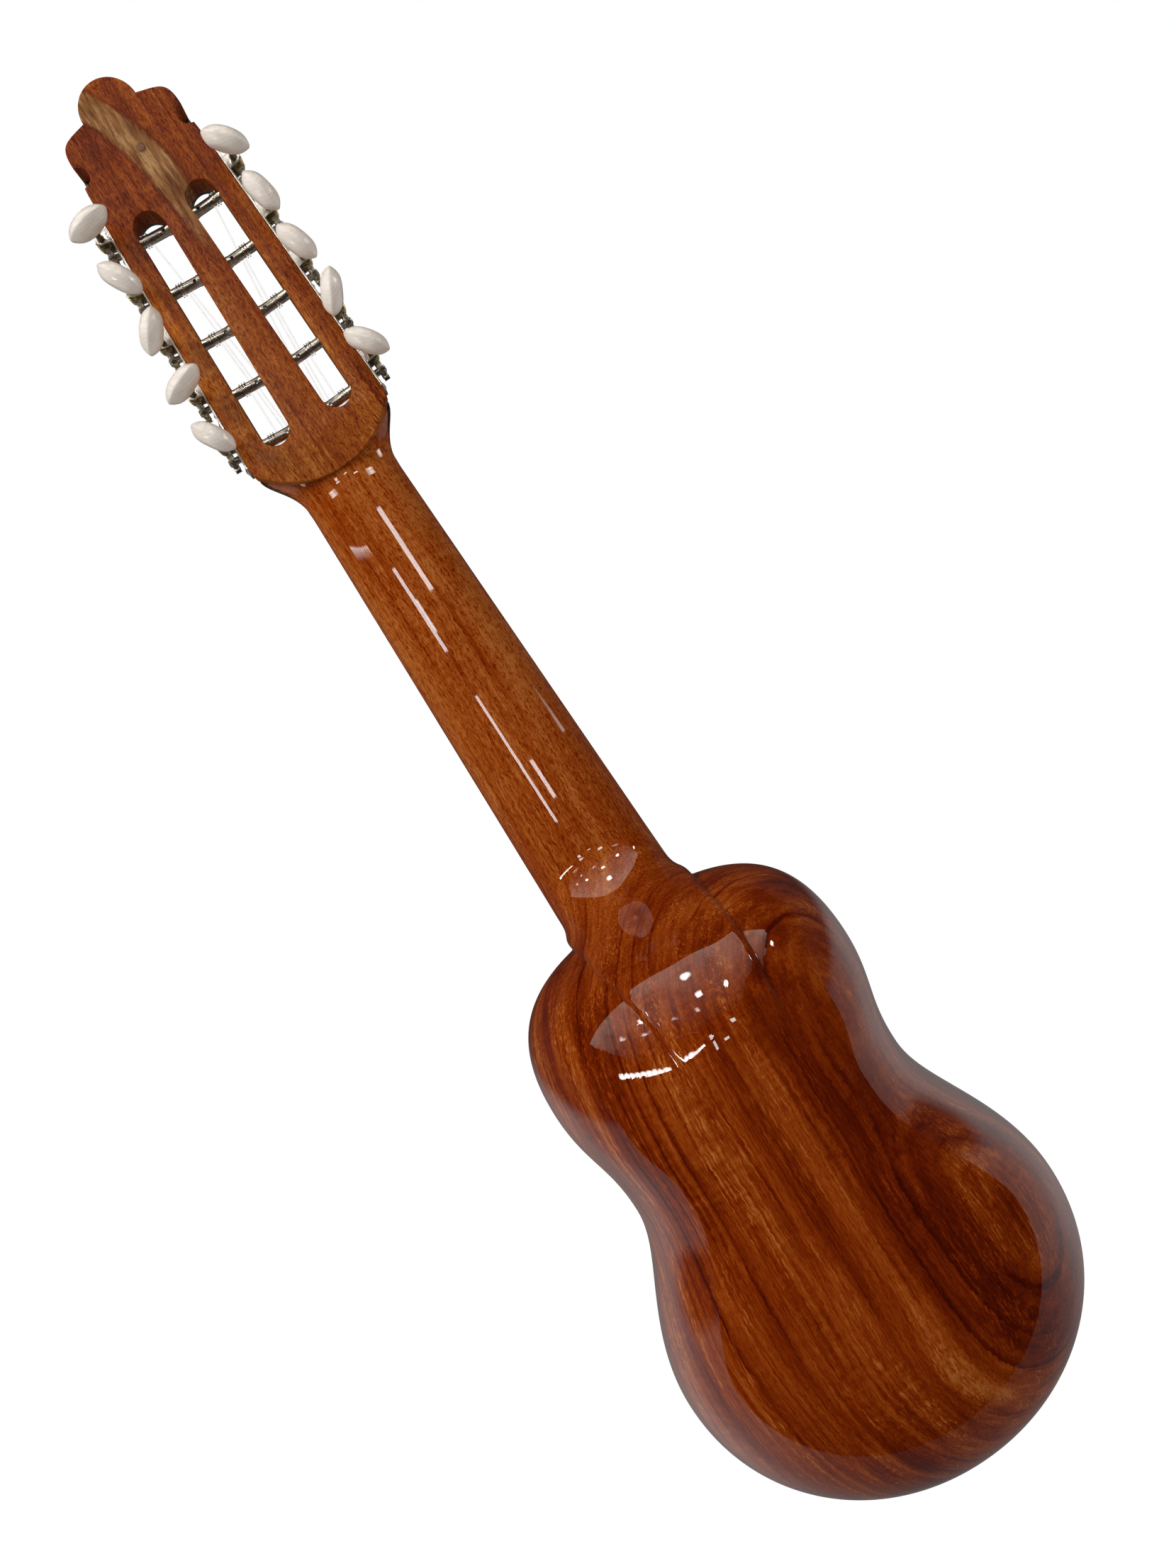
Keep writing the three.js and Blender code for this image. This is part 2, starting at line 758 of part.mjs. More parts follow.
// Fingerboard with its frets
function fingerboard() {
  const halfAt = (z) => neckHalf(z) - boardInset;
  const slab = new THREE.Shape([
    new THREE.Vector2(-halfAt(0), 0),
    new THREE.Vector2(halfAt(0), 0),
    new THREE.Vector2(halfAt(shoulderZ), shoulderZ),
    new THREE.Vector2(halfAt(shoulderZ), fingerboardEnd),
    new THREE.Vector2(-halfAt(shoulderZ), fingerboardEnd),
    new THREE.Vector2(-halfAt(shoulderZ), shoulderZ),
  ]);
  const slabBar = new THREE.ExtrudeGeometry(slab, { depth: boardHeight, bevelEnabled: false });
  let board = solid(slabBar.rotateX(Math.PI / 2));
  for (let number = 1; number <= fretCount; number += 1) {
    const z = -fretPlace(number);
    const half = Math.min(halfAt(z), halfAt(shoulderZ));
    const crown = new THREE.Shape([
      new THREE.Vector2(-fretWidth / 2, boardHeight - fretHeight),
      new THREE.Vector2(fretWidth / 2, boardHeight - fretHeight),
      new THREE.Vector2(fretWidth / 2, boardHeight + fretHeight * fretShoulderShare),
      new THREE.Vector2(fretWidth * fretCrownShare, boardHeight + fretHeight),
      new THREE.Vector2(-fretWidth * fretCrownShare, boardHeight + fretHeight),
      new THREE.Vector2(-fretWidth / 2, boardHeight + fretHeight * fretShoulderShare),
    ]);
    const bar = new THREE.ExtrudeGeometry(crown, { depth: 2 * half, bevelEnabled: false });
    bar.translate(0, 0, -half);
    const frame = new THREE.Matrix4().makeBasis(vec(0, 0, 1), vec(0, -1, 0), vec(1, 0, 0));
    bar.applyMatrix4(frame);
    board = board.add(solid(bar.translate(0, 0, z)));
  }
  return surface(board);
}

function nut() {
  const profile = new THREE.Shape([
    new THREE.Vector2(gap, 0),
    new THREE.Vector2(nutLength, 0),
    new THREE.Vector2(nutLength, -nutHeight * nutSlopeShare),
    new THREE.Vector2(nutLength * nutCrestShare, -nutHeight),
    new THREE.Vector2(gap, -nutHeight),
  ]);
  const width = 2 * (nutHalf - boardInset);
  const bar = new THREE.ExtrudeGeometry(profile, { depth: width, bevelEnabled: false });
  bar.translate(0, 0, -width / 2);
  return bar.applyMatrix4(new THREE.Matrix4().makeBasis(vec(0, 0, 1), vec(0, 1, 0), vec(-1, 0, 0)));
}

// Place of each string across the instrument, from a spread and the gap inside a pair
function stringAcross(number, spread, pair) {
  const course = Math.floor(number / 2);
  const middle = (course / (courses - 1) - 0.5) * (spread - pair);
  return middle + (number % 2 === 0 ? -pair / 2 : pair / 2);
}

// Profile along x, drawn as distance along z and height above the soundboard
function acrossBody(points, width) {
  const shape = new THREE.Shape(points.map(([along, height]) => new THREE.Vector2(along, height)));
  const bar = new THREE.ExtrudeGeometry(shape, { depth: width, bevelEnabled: false });
  bar.translate(0, 0, -width / 2);
  return bar.applyMatrix4(new THREE.Matrix4().makeBasis(vec(0, 0, 1), vec(0, -1, 0), vec(1, 0, 0)));
}

function bridge() {
  const front = bridgeZ + bridgeFront;
  const tie = bridgeZ - tieFront;
  const back = tie - tieDepth;
  const seat = saddleThickness / 2 + gap;
  const core = solid(acrossBody([
    [front, 0],
    [front, wingHeight],
    [bridgeZ + seat + bridgeLip, bridgeHeight],
    [bridgeZ - seat - bridgeLip, bridgeHeight],
    [bridgeZ - seat - bridgeLip, wingHeight],
    [tie, wingHeight],
    [tie, bridgeHeight],
    [back + wingHeight, bridgeHeight],
    [back, bridgeHeight - wingHeight],
    [back, 0],
  ], bridgeCore));
  const wings = solid(acrossBody([
    [front - wingInset, 0],
    [front - wingInset - wingSlope, wingHeight],
    [back + wingInset + wingSlope, wingHeight],
    [back + wingInset, 0],
  ], bridgeLength));
  let whole = core.add(wings);
  const slot = box(
    vec(-saddleLength / 2 - gap, -bridgeHeight - overrun, bridgeZ - seat),
    vec(saddleLength / 2 + gap, -saddleSeat, bridgeZ + seat),
  );
  whole = whole.subtract(solid(slot));
  for (let number = 0; number < 2 * courses; number += 1) {
    const hole = new THREE.CylinderGeometry(tieHole, tieHole, tieDepth + 2 * overrun, holeSides);
    hole.rotateX(Math.PI / 2);
    const across = stringAcross(number, saddleSpread, saddlePair);
    whole = whole.subtract(solid(hole.translate(across, -tieHoleHeight, tie - tieDepth / 2)));
  }
  return surface(whole);
}

function saddle() {
  const half = saddleThickness / 2;
  return acrossBody([
    [bridgeZ + half, saddleSeat + gap],
    [bridgeZ + half, saddleHeight - half * saddleRoundShare],
    [bridgeZ + half * saddleRoundShare, saddleHeight],
    [bridgeZ - half * saddleRoundShare, saddleHeight],
    [bridgeZ - half, saddleHeight - half * saddleRoundShare],
    [bridgeZ - half, saddleSeat + gap],
  ], saddleLength);
}

function plug() {
  const peg = new THREE.CylinderGeometry(plugRadius, plugRadius, plugDepth, boreSides);
  return peg.rotateX(Math.PI / 2).translate(plugAcross, plugPlace, plugDepth / 2);
}

// Nickel strip on one side, with two ears for each worm
function tunerPlate(side) {
  const middle = plateBack + plateWidth / 2;
  const strip = box(
    vec(0, plateFoot, plateBack),
    vec(plateThickness, plateTop, plateBack + plateWidth),
  );
  let plate = solid(side > 0 ? strip : strip.translate(-plateThickness, 0, 0));
  for (let number = 0; number < tunersPerSide; number += 1) {
    const along = rollerPlace(number);
    const wormAlong = along + wormOffset;
    const reach = plateThickness + wormReach;
    [-1, 1].forEach((end) => {
      const place = middle + (end * (plateWidth - earThickness)) / 2;
      const ear = new THREE.Shape();
      ear.moveTo(0, wormAlong - earHalf);
      ear.lineTo(side * (reach + earHalf), wormAlong - earHalf * earTipShare);
      ear.lineTo(side * (reach + earHalf), wormAlong + earHalf * earTipShare);
      ear.lineTo(0, wormAlong + earHalf);
      const tab = new THREE.ExtrudeGeometry(ear, { depth: earThickness, bevelEnabled: false });
      plate = plate.add(solid(tab.translate(0, 0, place - earThickness / 2)));
      const bearing = shaftRadius + bearingGap;
      const hole = new THREE.CylinderGeometry(bearing, bearing, 2 * earThickness, earSides);
      hole.rotateX(Math.PI / 2).translate(side * reach, wormAlong, place);
      plate = plate.subtract(solid(hole));
    });
    const bore = crossBar(side, -overrun, plateThickness + overrun, rollerNeckRadius + gap, along);
    plate = plate.subtract(solid(bore));
  }
  return surface(plate);
}

// Roller with its neck, gear and screw, drawn along its own axis from the rib outwards
function roller(number) {
  const inner = rollerReach(number) + rollerBlind;
  const outer = plateThickness + wormReach + gearWidth / 2;
  const profile = [
    [0, -inner],
    [rollerRadius, -inner],
    [rollerRadius, -gap],
    [rollerNeckRadius, -gap],
    [rollerNeckRadius, outer + screwHeight],
    [0, outer + screwHeight],
  ];
  const points = profile.map(([radius, along]) => new THREE.Vector2(radius, along));
  const bar = solid(new THREE.LatheGeometry(points, boreSides));
  const outline = [];
  for (let tooth = 0; tooth < gearTeeth; tooth += 1) {
    toothShares.forEach((share, corner) => {
      const turn = ((tooth + share - 0.5) / gearTeeth) * 2 * Math.PI;
      const high = corner === 1 || corner === 2;
      const radius = gearPitchRadius + (high ? gearAddendum : -gearDedendum);
      outline.push(new THREE.Vector2(radius * Math.cos(turn), radius * Math.sin(turn)));
    });
  }
  const wheel = flatSolid(outline, [], gearWidth);
  wheel.rotateX(-Math.PI / 2).translate(0, outer - gearWidth, 0);
  const through = 2 * (rollerRadius + overrun);
  const hole = new THREE.CylinderGeometry(rollerHoleRadius, rollerHoleRadius, through, holeSides);
  hole.rotateX(Math.PI / 2).translate(0, rollerHoleStand - rollerReach(number) + gap, 0);
  return surface(bar.add(solid(wheel)).subtract(solid(hole)));
}

// Thread of a worm: a ridge that winds round a core, closed at both ends
function threadSolid() {
  const steps = Math.round(wormTurns * wormSteps);
  const rise = (step) => (step / wormSteps - wormTurns / 2) * wormPitch;
  const place = (step, radius, height) => {
    const turn = (step / wormSteps) * 2 * Math.PI;
    return vec(radius * Math.cos(turn), height, radius * Math.sin(turn));
  };
  const points = [];
  const faces = [];
  for (let step = 0; step <= steps; step += 1) {
    const tip = step === 0 || step === steps ? (wormRoot + wormTip) / 2 : wormTip;
    points.push(place(step, wormRoot, rise(step) - wormThread));
    points.push(place(step, tip, rise(step) - wormThread / 2));
    points.push(place(step, tip, rise(step) + wormThread / 2));
    points.push(place(step, wormRoot, rise(step) + wormThread));
  }
  const quad = (a, b, c, d) => faces.push(a, b, c, a, c, d);
  for (let step = 0; step < steps; step += 1) {
    const near = 4 * step;
    const far = near + 4;
    for (let line = 0; line < 3; line += 1) quad(near + line, near + line + 1, far + line + 1, far + line);
    if (step < steps - wormSteps) {
      const next = near + 4 * wormSteps;
      quad(near + 3, next, next + 4, far + 3);
    }
  }
  const low = points.push(vec(0, rise(0) - wormThread, 0)) - 1;
  const high = points.push(vec(0, rise(steps) + wormThread, 0)) - 1;
  for (let step = 0; step < wormSteps; step += 1) {
    faces.push(low, 4 * step, 4 * (step + 1));
    const far = 4 * (steps - step) + 3;
    faces.push(high, far, far - 4);
  }
  const seam = 4 * wormSteps;
  faces.push(low, seam, 3, 3, 2, low, 2, 1, low, 1, 0, low);
  const last = 4 * steps;
  const turnBack = last - seam + 3;
  faces.push(high, turnBack, last, last, last + 1, high, last + 1, last + 2, high, last + 2, last + 3, high);
  const geometry = new THREE.BufferGeometry().setFromPoints(points);
  geometry.setIndex(faces);
  return solid(facingOut(geometry));
}

// Worm with its thread and its shaft to the button, drawn along its own axis
function worm() {
  const end = plateWidth / 2 + shaftTail;
  const start = -(plateBack + plateWidth / 2 + buttonStand + buttonSocket);
  const shaft = new THREE.CylinderGeometry(shaftRadius, shaftRadius, end - start, boreSides);
  shaft.translate(0, (start + end) / 2, 0);
  return surface(solid(shaft).add(threadSolid()));
}

// Oval button with two domed faces that meet in a ridge, and a socket for the shaft
function button() {
  const front = lensOutShares.map((out, index) => new THREE.Vector2(out, -lensUpShares[index]));
  const back = lensOutShares.map((out, index) => new THREE.Vector2(out, lensUpShares[index])).reverse();
  const profile = [...front, ...back];
  const lens = new THREE.LatheGeometry(profile, buttonSides);
  lens.rotateX(Math.PI / 2);
  lens.scale(buttonLength / 2, buttonHeight / 2, buttonThickness / 2);
  const bore = shaftRadius + gap;
  const socket = new THREE.CylinderGeometry(bore, bore, 2 * buttonSocket, boreSides);
  socket.translate(0, buttonHeight / 2 - gap, 0);
  return surface(solid(lens).subtract(solid(socket)));
}

// Tube of rings carried along a row of points without twisting
function tube(points, radius, sides) {
  const rings = [];
  let normal = null;
  points.forEach((point, index) => {
    const before = points[Math.max(index - 1, 0)];
    const after = points[Math.min(index + 1, points.length - 1)];
    const into = new THREE.Vector3().subVectors(point, before).normalize();
    const out = new THREE.Vector3().subVectors(after, point).normalize();
    const tangent = new THREE.Vector3().addVectors(into, out).normalize();
    if (!normal) normal = new THREE.Vector3(1, 0, 0);
    normal = normal.clone().addScaledVector(tangent, -normal.dot(tangent)).normalize();
    const binormal = new THREE.Vector3().crossVectors(tangent, normal);
    const around = [];
    for (let step = 0; step < sides; step += 1) {
      const turn = (step / sides) * 2 * Math.PI;
      const offset = normal.clone().multiplyScalar(radius * Math.cos(turn));
      offset.addScaledVector(binormal, radius * Math.sin(turn));
      around.push(offset.add(point));
    }
    rings.push(around);
  });
  return loft(rings);
}

// Route of one string: tie block, saddle, nut and its winding on the roller
function stringRoute(number) {
  const side = number < courses ? -1 : 1;
  const order = side < 0 ? number : 2 * courses - 1 - number;
  const atNut = stringAcross(number, nutSpread, nutPair);
  const atSaddle = stringAcross(number, saddleSpread, saddlePair);
  const lift = stringRadius + gap;
  const nutLine = -nutHeight - lift;
  const saddleLine = -saddleHeight - lift;
  const tie = bridgeZ - tieFront;
  const half = saddleThickness / 2;
  const route = [
    vec(atSaddle, -tieHoleHeight, tie - tieDepth + tieInset),
    vec(atSaddle, -tieHoleHeight, tie + gap),
    vec(atSaddle, saddleLine, bridgeZ - half),
    vec(atSaddle, saddleLine, bridgeZ + half),
    vec(atNut, nutLine, gap),
    vec(atNut, nutLine, nutLength * nutCrestShare),
  ];
  const frame = frameMatrix(headFrame(), sideFrame(side));
  const start = route[route.length - 1].clone().applyMatrix4(frame.clone().invert());
  const along = rollerPlace(order);
  const radius = rollerRadius + gap + stringRadius;
  const away = new THREE.Vector2(start.y - along, start.z - rollerDepth);
  const first = Math.atan2(away.x, away.y) + Math.acos(radius / away.length());
  const reach = rollerReach(order);
  const middle = side * (-reach + 2 * slotRadius * coilAcrossShares[order]);
  const begin = middle - (side * coilPitch * coilTurns) / 2;
  const steps = Math.round(coilTurns * coilSteps);
  for (let step = 0; step <= steps; step += 1) {
    const turn = first + (step / coilSteps) * 2 * Math.PI;
    const across = begin + (side * coilPitch * step) / coilSteps;
    const place = vec(across, along + radius * Math.sin(turn), rollerDepth + radius * Math.cos(turn));
    route.push(place.applyMatrix4(frame));
  }
  const last = route[route.length - 1];
  const before = route[route.length - 2];
  const tail = new THREE.Vector3().subVectors(last, before).setLength(2 * stringRadius);
  route.push(last.clone().add(tail));
  return route;
}

// Least clear distance between the turns of one winding
function leastGap(route) {
  let least = Infinity;
  for (let a = runPoints; a < route.length; a += 1) {
    for (let b = a + Math.round(coilSteps / 2); b < route.length; b += 1) {
      least = Math.min(least, route[a].distanceTo(route[b]) - 2 * stringRadius);
    }
  }
  return least;
}

// Assembly
const charango = new THREE.Group();
charango.name = 'charango';
charango.add(named('carved_body', carvedBody(), paint.wood()));
charango.add(named('soundboard', soundboard(), paint.spruce()));
charango.add(named('rosette', rosette(), paint.inlay()));
charango.add(named('top_binding', binding(), paint.binding()));
charango.add(named('upper_brace', crossBrace(upperBarDrop), paint.bar()));
charango.add(named('lower_brace', crossBrace(lowerBarDrop), paint.bar()));
[-1, 0, 1].forEach((place, index) => {
  charango.add(named(`fan_strut_${index + 1}`, fanStrut(place), paint.bar()));
});
charango.add(named('fingerboard', fingerboard(), paint.ebony()));
charango.add(named('nut', nut(), paint.bone()));
charango.add(named('bridge', bridge(), paint.ebony()));
charango.add(named('saddle', saddle(), paint.bone()));

const headstock = headFrame();
charango.add(headstock);
headstock.add(named('headplate', headplate(), paint.veneer()));
headstock.add(named('headstock_plug', plug(), paint.plug()));

[1, -1].forEach((side) => {
  const label = side > 0 ? 'left' : 'right';
  const turns = side > 0 ? leftButtonTurns : rightButtonTurns;
  const frame = sideFrame(side);
  headstock.add(frame);
  frame.add(named(`tuner_plate_${label}`, tunerPlate(side), paint.nickel()));
  for (let number = 0; number < tunersPerSide; number += 1) {
    const along = rollerPlace(number);
    const reach = side * (plateThickness + wormReach);
    const post = named(`roller_${label}_${number + 1}`, roller(number), paint.steel());
    post.position.set(0, along, rollerDepth);
    post.rotation.z = -side * (Math.PI / 2);
    frame.add(post);
    const spindle = new THREE.Group();
    spindle.position.set(reach, along + wormOffset, rollerDepth);
    spindle.rotation.x = Math.PI / 2;
    frame.add(spindle);
    spindle.add(named(`worm_${label}_${number + 1}`, worm(), paint.brass()));
    const knob = named(`button_${label}_${number + 1}`, button(), paint.ivory());
    knob.position.y = -(rollerDepth + buttonStand + buttonHeight / 2);
    knob.rotation.y = THREE.MathUtils.degToRad(side * turns[number]);
    spindle.add(knob);
  }
});

let tightest = Infinity;
for (let number = 0; number < 2 * courses; number += 1) {
  const route = stringRoute(number);
  tightest = Math.min(tightest, leastGap(route));
  charango.add(named(`string_${number + 1}`, tube(route, stringRadius, stringSides), paint.nylon()));
}
console.log(`least gap between the turns of a winding: ${tightest.toFixed(2)} mm`);

export default charango;
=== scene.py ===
"""Looks of a charango seen from behind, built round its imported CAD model.

The frame hangs as the instrument does: +Z runs up the neck, the soundboard faces -Y, the round
back faces +Y and the origin is the middle of the nut. Sizes are in millimetres and are brought
to metres when a mesh is finished. The studio is in metres.
"""
from __future__ import annotations

import json
import logging
import math
from dataclasses import dataclass, field
from enum import Enum
from typing import Callable, Sequence

import bmesh
import bpy
import numpy as np
from mathutils import Matrix, Vector

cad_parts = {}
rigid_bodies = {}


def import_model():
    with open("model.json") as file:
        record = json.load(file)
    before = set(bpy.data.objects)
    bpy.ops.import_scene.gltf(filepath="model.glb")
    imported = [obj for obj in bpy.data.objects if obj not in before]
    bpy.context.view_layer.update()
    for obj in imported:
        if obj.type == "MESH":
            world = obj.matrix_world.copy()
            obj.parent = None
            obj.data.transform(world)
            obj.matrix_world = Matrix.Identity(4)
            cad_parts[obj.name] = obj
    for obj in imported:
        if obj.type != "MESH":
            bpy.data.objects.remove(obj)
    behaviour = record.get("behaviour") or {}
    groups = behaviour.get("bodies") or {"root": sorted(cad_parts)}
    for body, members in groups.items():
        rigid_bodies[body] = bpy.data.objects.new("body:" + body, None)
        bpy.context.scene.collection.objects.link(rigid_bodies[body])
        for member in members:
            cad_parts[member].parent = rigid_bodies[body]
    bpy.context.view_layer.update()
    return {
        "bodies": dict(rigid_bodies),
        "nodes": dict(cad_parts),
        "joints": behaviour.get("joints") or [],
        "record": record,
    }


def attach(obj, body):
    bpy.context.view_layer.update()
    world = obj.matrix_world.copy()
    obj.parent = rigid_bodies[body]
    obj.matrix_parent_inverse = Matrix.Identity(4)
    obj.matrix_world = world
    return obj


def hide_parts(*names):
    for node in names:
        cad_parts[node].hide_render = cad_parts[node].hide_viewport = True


LOG = logging.getLogger("charango")
MM = 0.001
GAP = 0.3
ROOT = "charango"
QUARTER = math.pi / 2
HEAD_TILT = math.radians(12.0)
STRING_LENGTH = 370.0
WARM_WHITE = (1.0, 0.86, 0.74)

Number = float | np.ndarray
Pair = tuple[float, float]
Point = tuple[float, float, float]
Colour = tuple[float, float, float]
Stop = tuple[float, Colour]
Profile = Sequence[Pair]
Field = tuple[np.ndarray, np.ndarray]
Material = bpy.types.Material
Piece = bpy.types.Object
Shape = bmesh.types.BMesh


class Side(Enum):
    """Sides of the headstock, as someone sees them who looks at the back."""

    LEFT = 1
    RIGHT = -1

    @property
    def label(self) -> str:
        """Name of the side in the names of nodes and bodies."""
        return self.name.lower()


# Numbers and outlines


def lerp(start: Number, end: Number, share: Number) -> Number:
    """Value part of the way from a start to an end."""
    return start + (end - start) * share


def smooth(share: Number) -> Number:
    """Share eased in and out, held between 0 and 1."""
    held = np.clip(share, 0.0, 1.0)
    return held * held * (3.0 - 2.0 * held)


def signed_power(value: float, power: float) -> float:
    """Power of a value that keeps its sign."""
    return math.copysign(abs(value) ** power, value)


def bezier(points: Sequence[Pair], count: int) -> np.ndarray:
    """Points along a cubic curve.

    Args:
        points: The curve's four control points.
        count: Number of steps.

    Returns:
        An array of count + 1 points.
    """
    turn = np.linspace(0.0, 1.0, count + 1)[:, None]
    rest = 1.0 - turn
    a, b, c, d = (np.array(point, dtype=float) for point in points)
    return rest**3 * a + 3 * rest**2 * turn * b + 3 * rest * turn**2 * c + turn**3 * d


def arc(centre: Pair, radius: float, start: float, end: float, count: int) -> np.ndarray:
    """Points along an arc, from a start to an end in radians."""
    turns = np.linspace(start, end, count)
    return np.array(centre) + radius * np.column_stack([np.cos(turns), np.sin(turns)])


def circle(centre: Pair, radius: float, count: int) -> np.ndarray:
    """Points round a circle."""
    return arc(centre, radius, 0.0, 2 * math.pi, count + 1)[:-1]


def mirrored(half: np.ndarray) -> np.ndarray:
    """Closed outline from its right half, which starts and ends in the middle."""
    return np.vstack([half, half[-2:0:-1] * (-1.0, 1.0)])


# Meshes


def linked(name: str, data: bpy.types.ID, *finishes: Material) -> Piece:
    """Object that is new in the scene.

    Args:
        name: Name of the object.
        data: Mesh, curve, light or camera that it shows.
        finishes: Materials in the order of the faces' indices.

    Returns:
        The object.
    """
    piece = bpy.data.objects.new(name, data)
    bpy.context.scene.collection.objects.link(piece)
    for finish in finishes:
        data.materials.append(finish)
    return piece


def meshed(name: str, shape: Shape) -> bpy.types.Mesh:
    """Mesh of a shape, which is freed.

    Args:
        name: Name of the mesh.
        shape: The shape.

    Returns:
        The mesh.
    """
    mesh = bpy.data.meshes.new(name)
    shape.to_mesh(mesh)
    shape.free()
    return mesh


def finished(name: str, shape: Shape, place: Matrix, *finishes: Material) -> Piece:
    """Puts a shape in its place with its faces outwards and brings it to metres.

    Args:
        name: Name of the piece.
        shape: The shape in millimetres, which is freed.
        place: Matrix in millimetres from the shape to the frame.
        finishes: Materials in the order of the faces' indices.

    Returns:
        The piece.
    """
    bmesh.ops.transform(shape, matrix=place, verts=shape.verts)
    bmesh.ops.recalc_face_normals(shape, faces=shape.faces)
    bmesh.ops.scale(shape, vec=(MM, MM, MM), verts=shape.verts)
    return linked(name, meshed(name, shape), *finishes)


def settle(piece: Piece) -> Piece:
    """Applies a piece's modifiers, and turns a curve into a mesh.

    Args:
        piece: The piece, which is replaced if it is a curve.

    Returns:
        The piece as a mesh.
    """
    bpy.context.view_layer.update()
    graph = bpy.context.evaluated_depsgraph_get()
    mesh = bpy.data.meshes.new_from_object(piece.evaluated_get(graph))
    name, old = piece.name, piece.data
    if piece.type == "CURVE":
        bpy.data.objects.remove(piece)
        bpy.data.curves.remove(old)
        mesh.name = name
        return linked(name, mesh)
    piece.modifiers.clear()
    mesh.materials.clear()
    for finish in old.materials:
        mesh.materials.append(finish)
    piece.data = mesh
    bpy.data.meshes.remove(old)
    return piece


def cut(piece: Piece, cutter: Piece) -> Piece:
    """Cuts a closed shape out of a piece.

    Args:
        piece: The piece that is cut.
        cutter: The shape that is taken away, which is removed.

    Returns:
        The piece.
    """
    change = piece.modifiers.new("cut", "BOOLEAN")
    change.operation = "DIFFERENCE"
    change.solver = "EXACT"
    change.material_mode = "INDEX"
    change.object = cutter
    settle(piece)
    bpy.data.objects.remove(cutter)
    return piece


def shade(piece: Piece, angle: float) -> Piece:
    """Shades a piece smoothly, apart from its sharp edges.

    Args:
        piece: The piece.
        angle: Angle in degrees from which an edge stays sharp.

    Returns:
        The piece.
    """
    shape = bmesh.new()
    shape.from_mesh(piece.data)
    limit = math.radians(angle)
    for face in shape.faces:
        face.smooth = True
    for edge in shape.edges:
        edge.smooth = len(edge.link_faces) == 2 and edge.calc_face_angle(0.0) < limit
    shape.to_mesh(piece.data)
    shape.free()
    return piece


def merged(name: str, pieces: Sequence[Piece]) -> Piece:
    """Joins pieces into one.

    Args:
        name: Name of the whole.
        pieces: Pieces with the same materials, which are removed.

    Returns:
        The whole.
    """
    shape = bmesh.new()
    finishes = list(pieces[0].data.materials)
    for piece in pieces:
        shape.from_mesh(piece.data)
        bpy.data.objects.remove(piece)
    return linked(name, meshed(name, shape), *finishes)


def picked(result: dict[str, list], kind: type) -> list:
    """Vertices or edges among what an operator made."""
    return [item for item in result["geom"] if isinstance(item, kind)]


def draw_line(curve: bpy.types.Curve, points: Sequence[Sequence[float]], closed: bool) -> None:
    """Adds a line of straight steps to a curve.

    Args:
        curve: The curve.
        points: Points of the line.
        closed: Whether it ends where it starts.
    """
    line = curve.splines.new("POLY")
    line.points.add(len(points) - 1)
    for spot, place in zip(line.points, points):
        spot.co = (*place, 1.0)
    line.use_cyclic_u = closed


def flat_piece(
    name: str, outlines: Sequence[np.ndarray], thickness: float, edge: float, place: Matrix, finish: Material
) -> Piece:
    """Cuts a flat piece with eased edges from closed outlines.

    Args:
        name: Name of the piece.
        outlines: The outer outline and any holes, as points (u, v).
        thickness: Thickness along the third axis, from 0 up.
        edge: Width of the eased edge.
        place: Matrix from (u, v, w) to the frame.
        finish: The piece's material.

    Returns:
        The piece.
    """
    curve = bpy.data.curves.new(name, "CURVE")
    curve.dimensions = "2D"
    curve.fill_mode = "BOTH"
    curve.extrude = thickness / 2 - edge
    curve.bevel_depth = edge
    curve.bevel_resolution = 2
    curve.offset = -edge
    for outline in outlines:
        draw_line(curve, [(u, v, 0.0) for u, v in outline], True)
    blank = settle(linked(name, curve))
    blank.data.transform(Matrix.Translation((0.0, 0.0, thickness / 2)))
    shape = bmesh.new()
    shape.from_mesh(blank.data)
    bpy.data.objects.remove(blank)
    bmesh.ops.remove_doubles(shape, verts=shape.verts, dist=0.001)
    return shade(finished(name, shape, place, finish), 30.0)


def lathe(name: str, profile: Profile, steps: int, place: Matrix, finish: Material) -> Piece:
    """Turns a profile about its own second axis.

    Args:
        name: Name of the piece.
        profile: Points (radius, height) from one end of the axis to the other.
        steps: Steps round the axis.
        place: Matrix from the lathe, with its axis along Y, to the frame.
        finish: The piece's material.

    Returns:
        The piece.
    """
    shape = bmesh.new()
    corners = [shape.verts.new((radius, height, 0.0)) for radius, height in profile]
    edges = [shape.edges.new(pair) for pair in zip(corners, corners[1:])]
    bmesh.ops.spin(
        shape, geom=corners + edges, cent=(0, 0, 0), axis=(0, 1, 0), dvec=(0, 0, 0),
        angle=2 * math.pi, steps=steps, use_merge=True, use_duplicate=False,
    )
    bmesh.ops.remove_doubles(shape, verts=shape.verts, dist=0.0005)
    return shade(finished(name, shape, place, finish), 30.0)


def prism(profile: Profile, start: float, end: float) -> Shape:
    """Profile drawn out along the third axis, from a start to an end.

    Args:
        profile: Corners (u, v) of the section.
        start: Where it starts.
        end: Where it ends.

    Returns:
        The shape.
    """
    shape = bmesh.new()
    face = shape.faces.new([shape.verts.new((u, v, start)) for u, v in profile])
    moved = picked(bmesh.ops.extrude_face_region(shape, geom=[face]), bmesh.types.BMVert)
    bmesh.ops.translate(shape, vec=(0, 0, end - start), verts=moved)
    bmesh.ops.recalc_face_normals(shape, faces=shape.faces)
    return shape


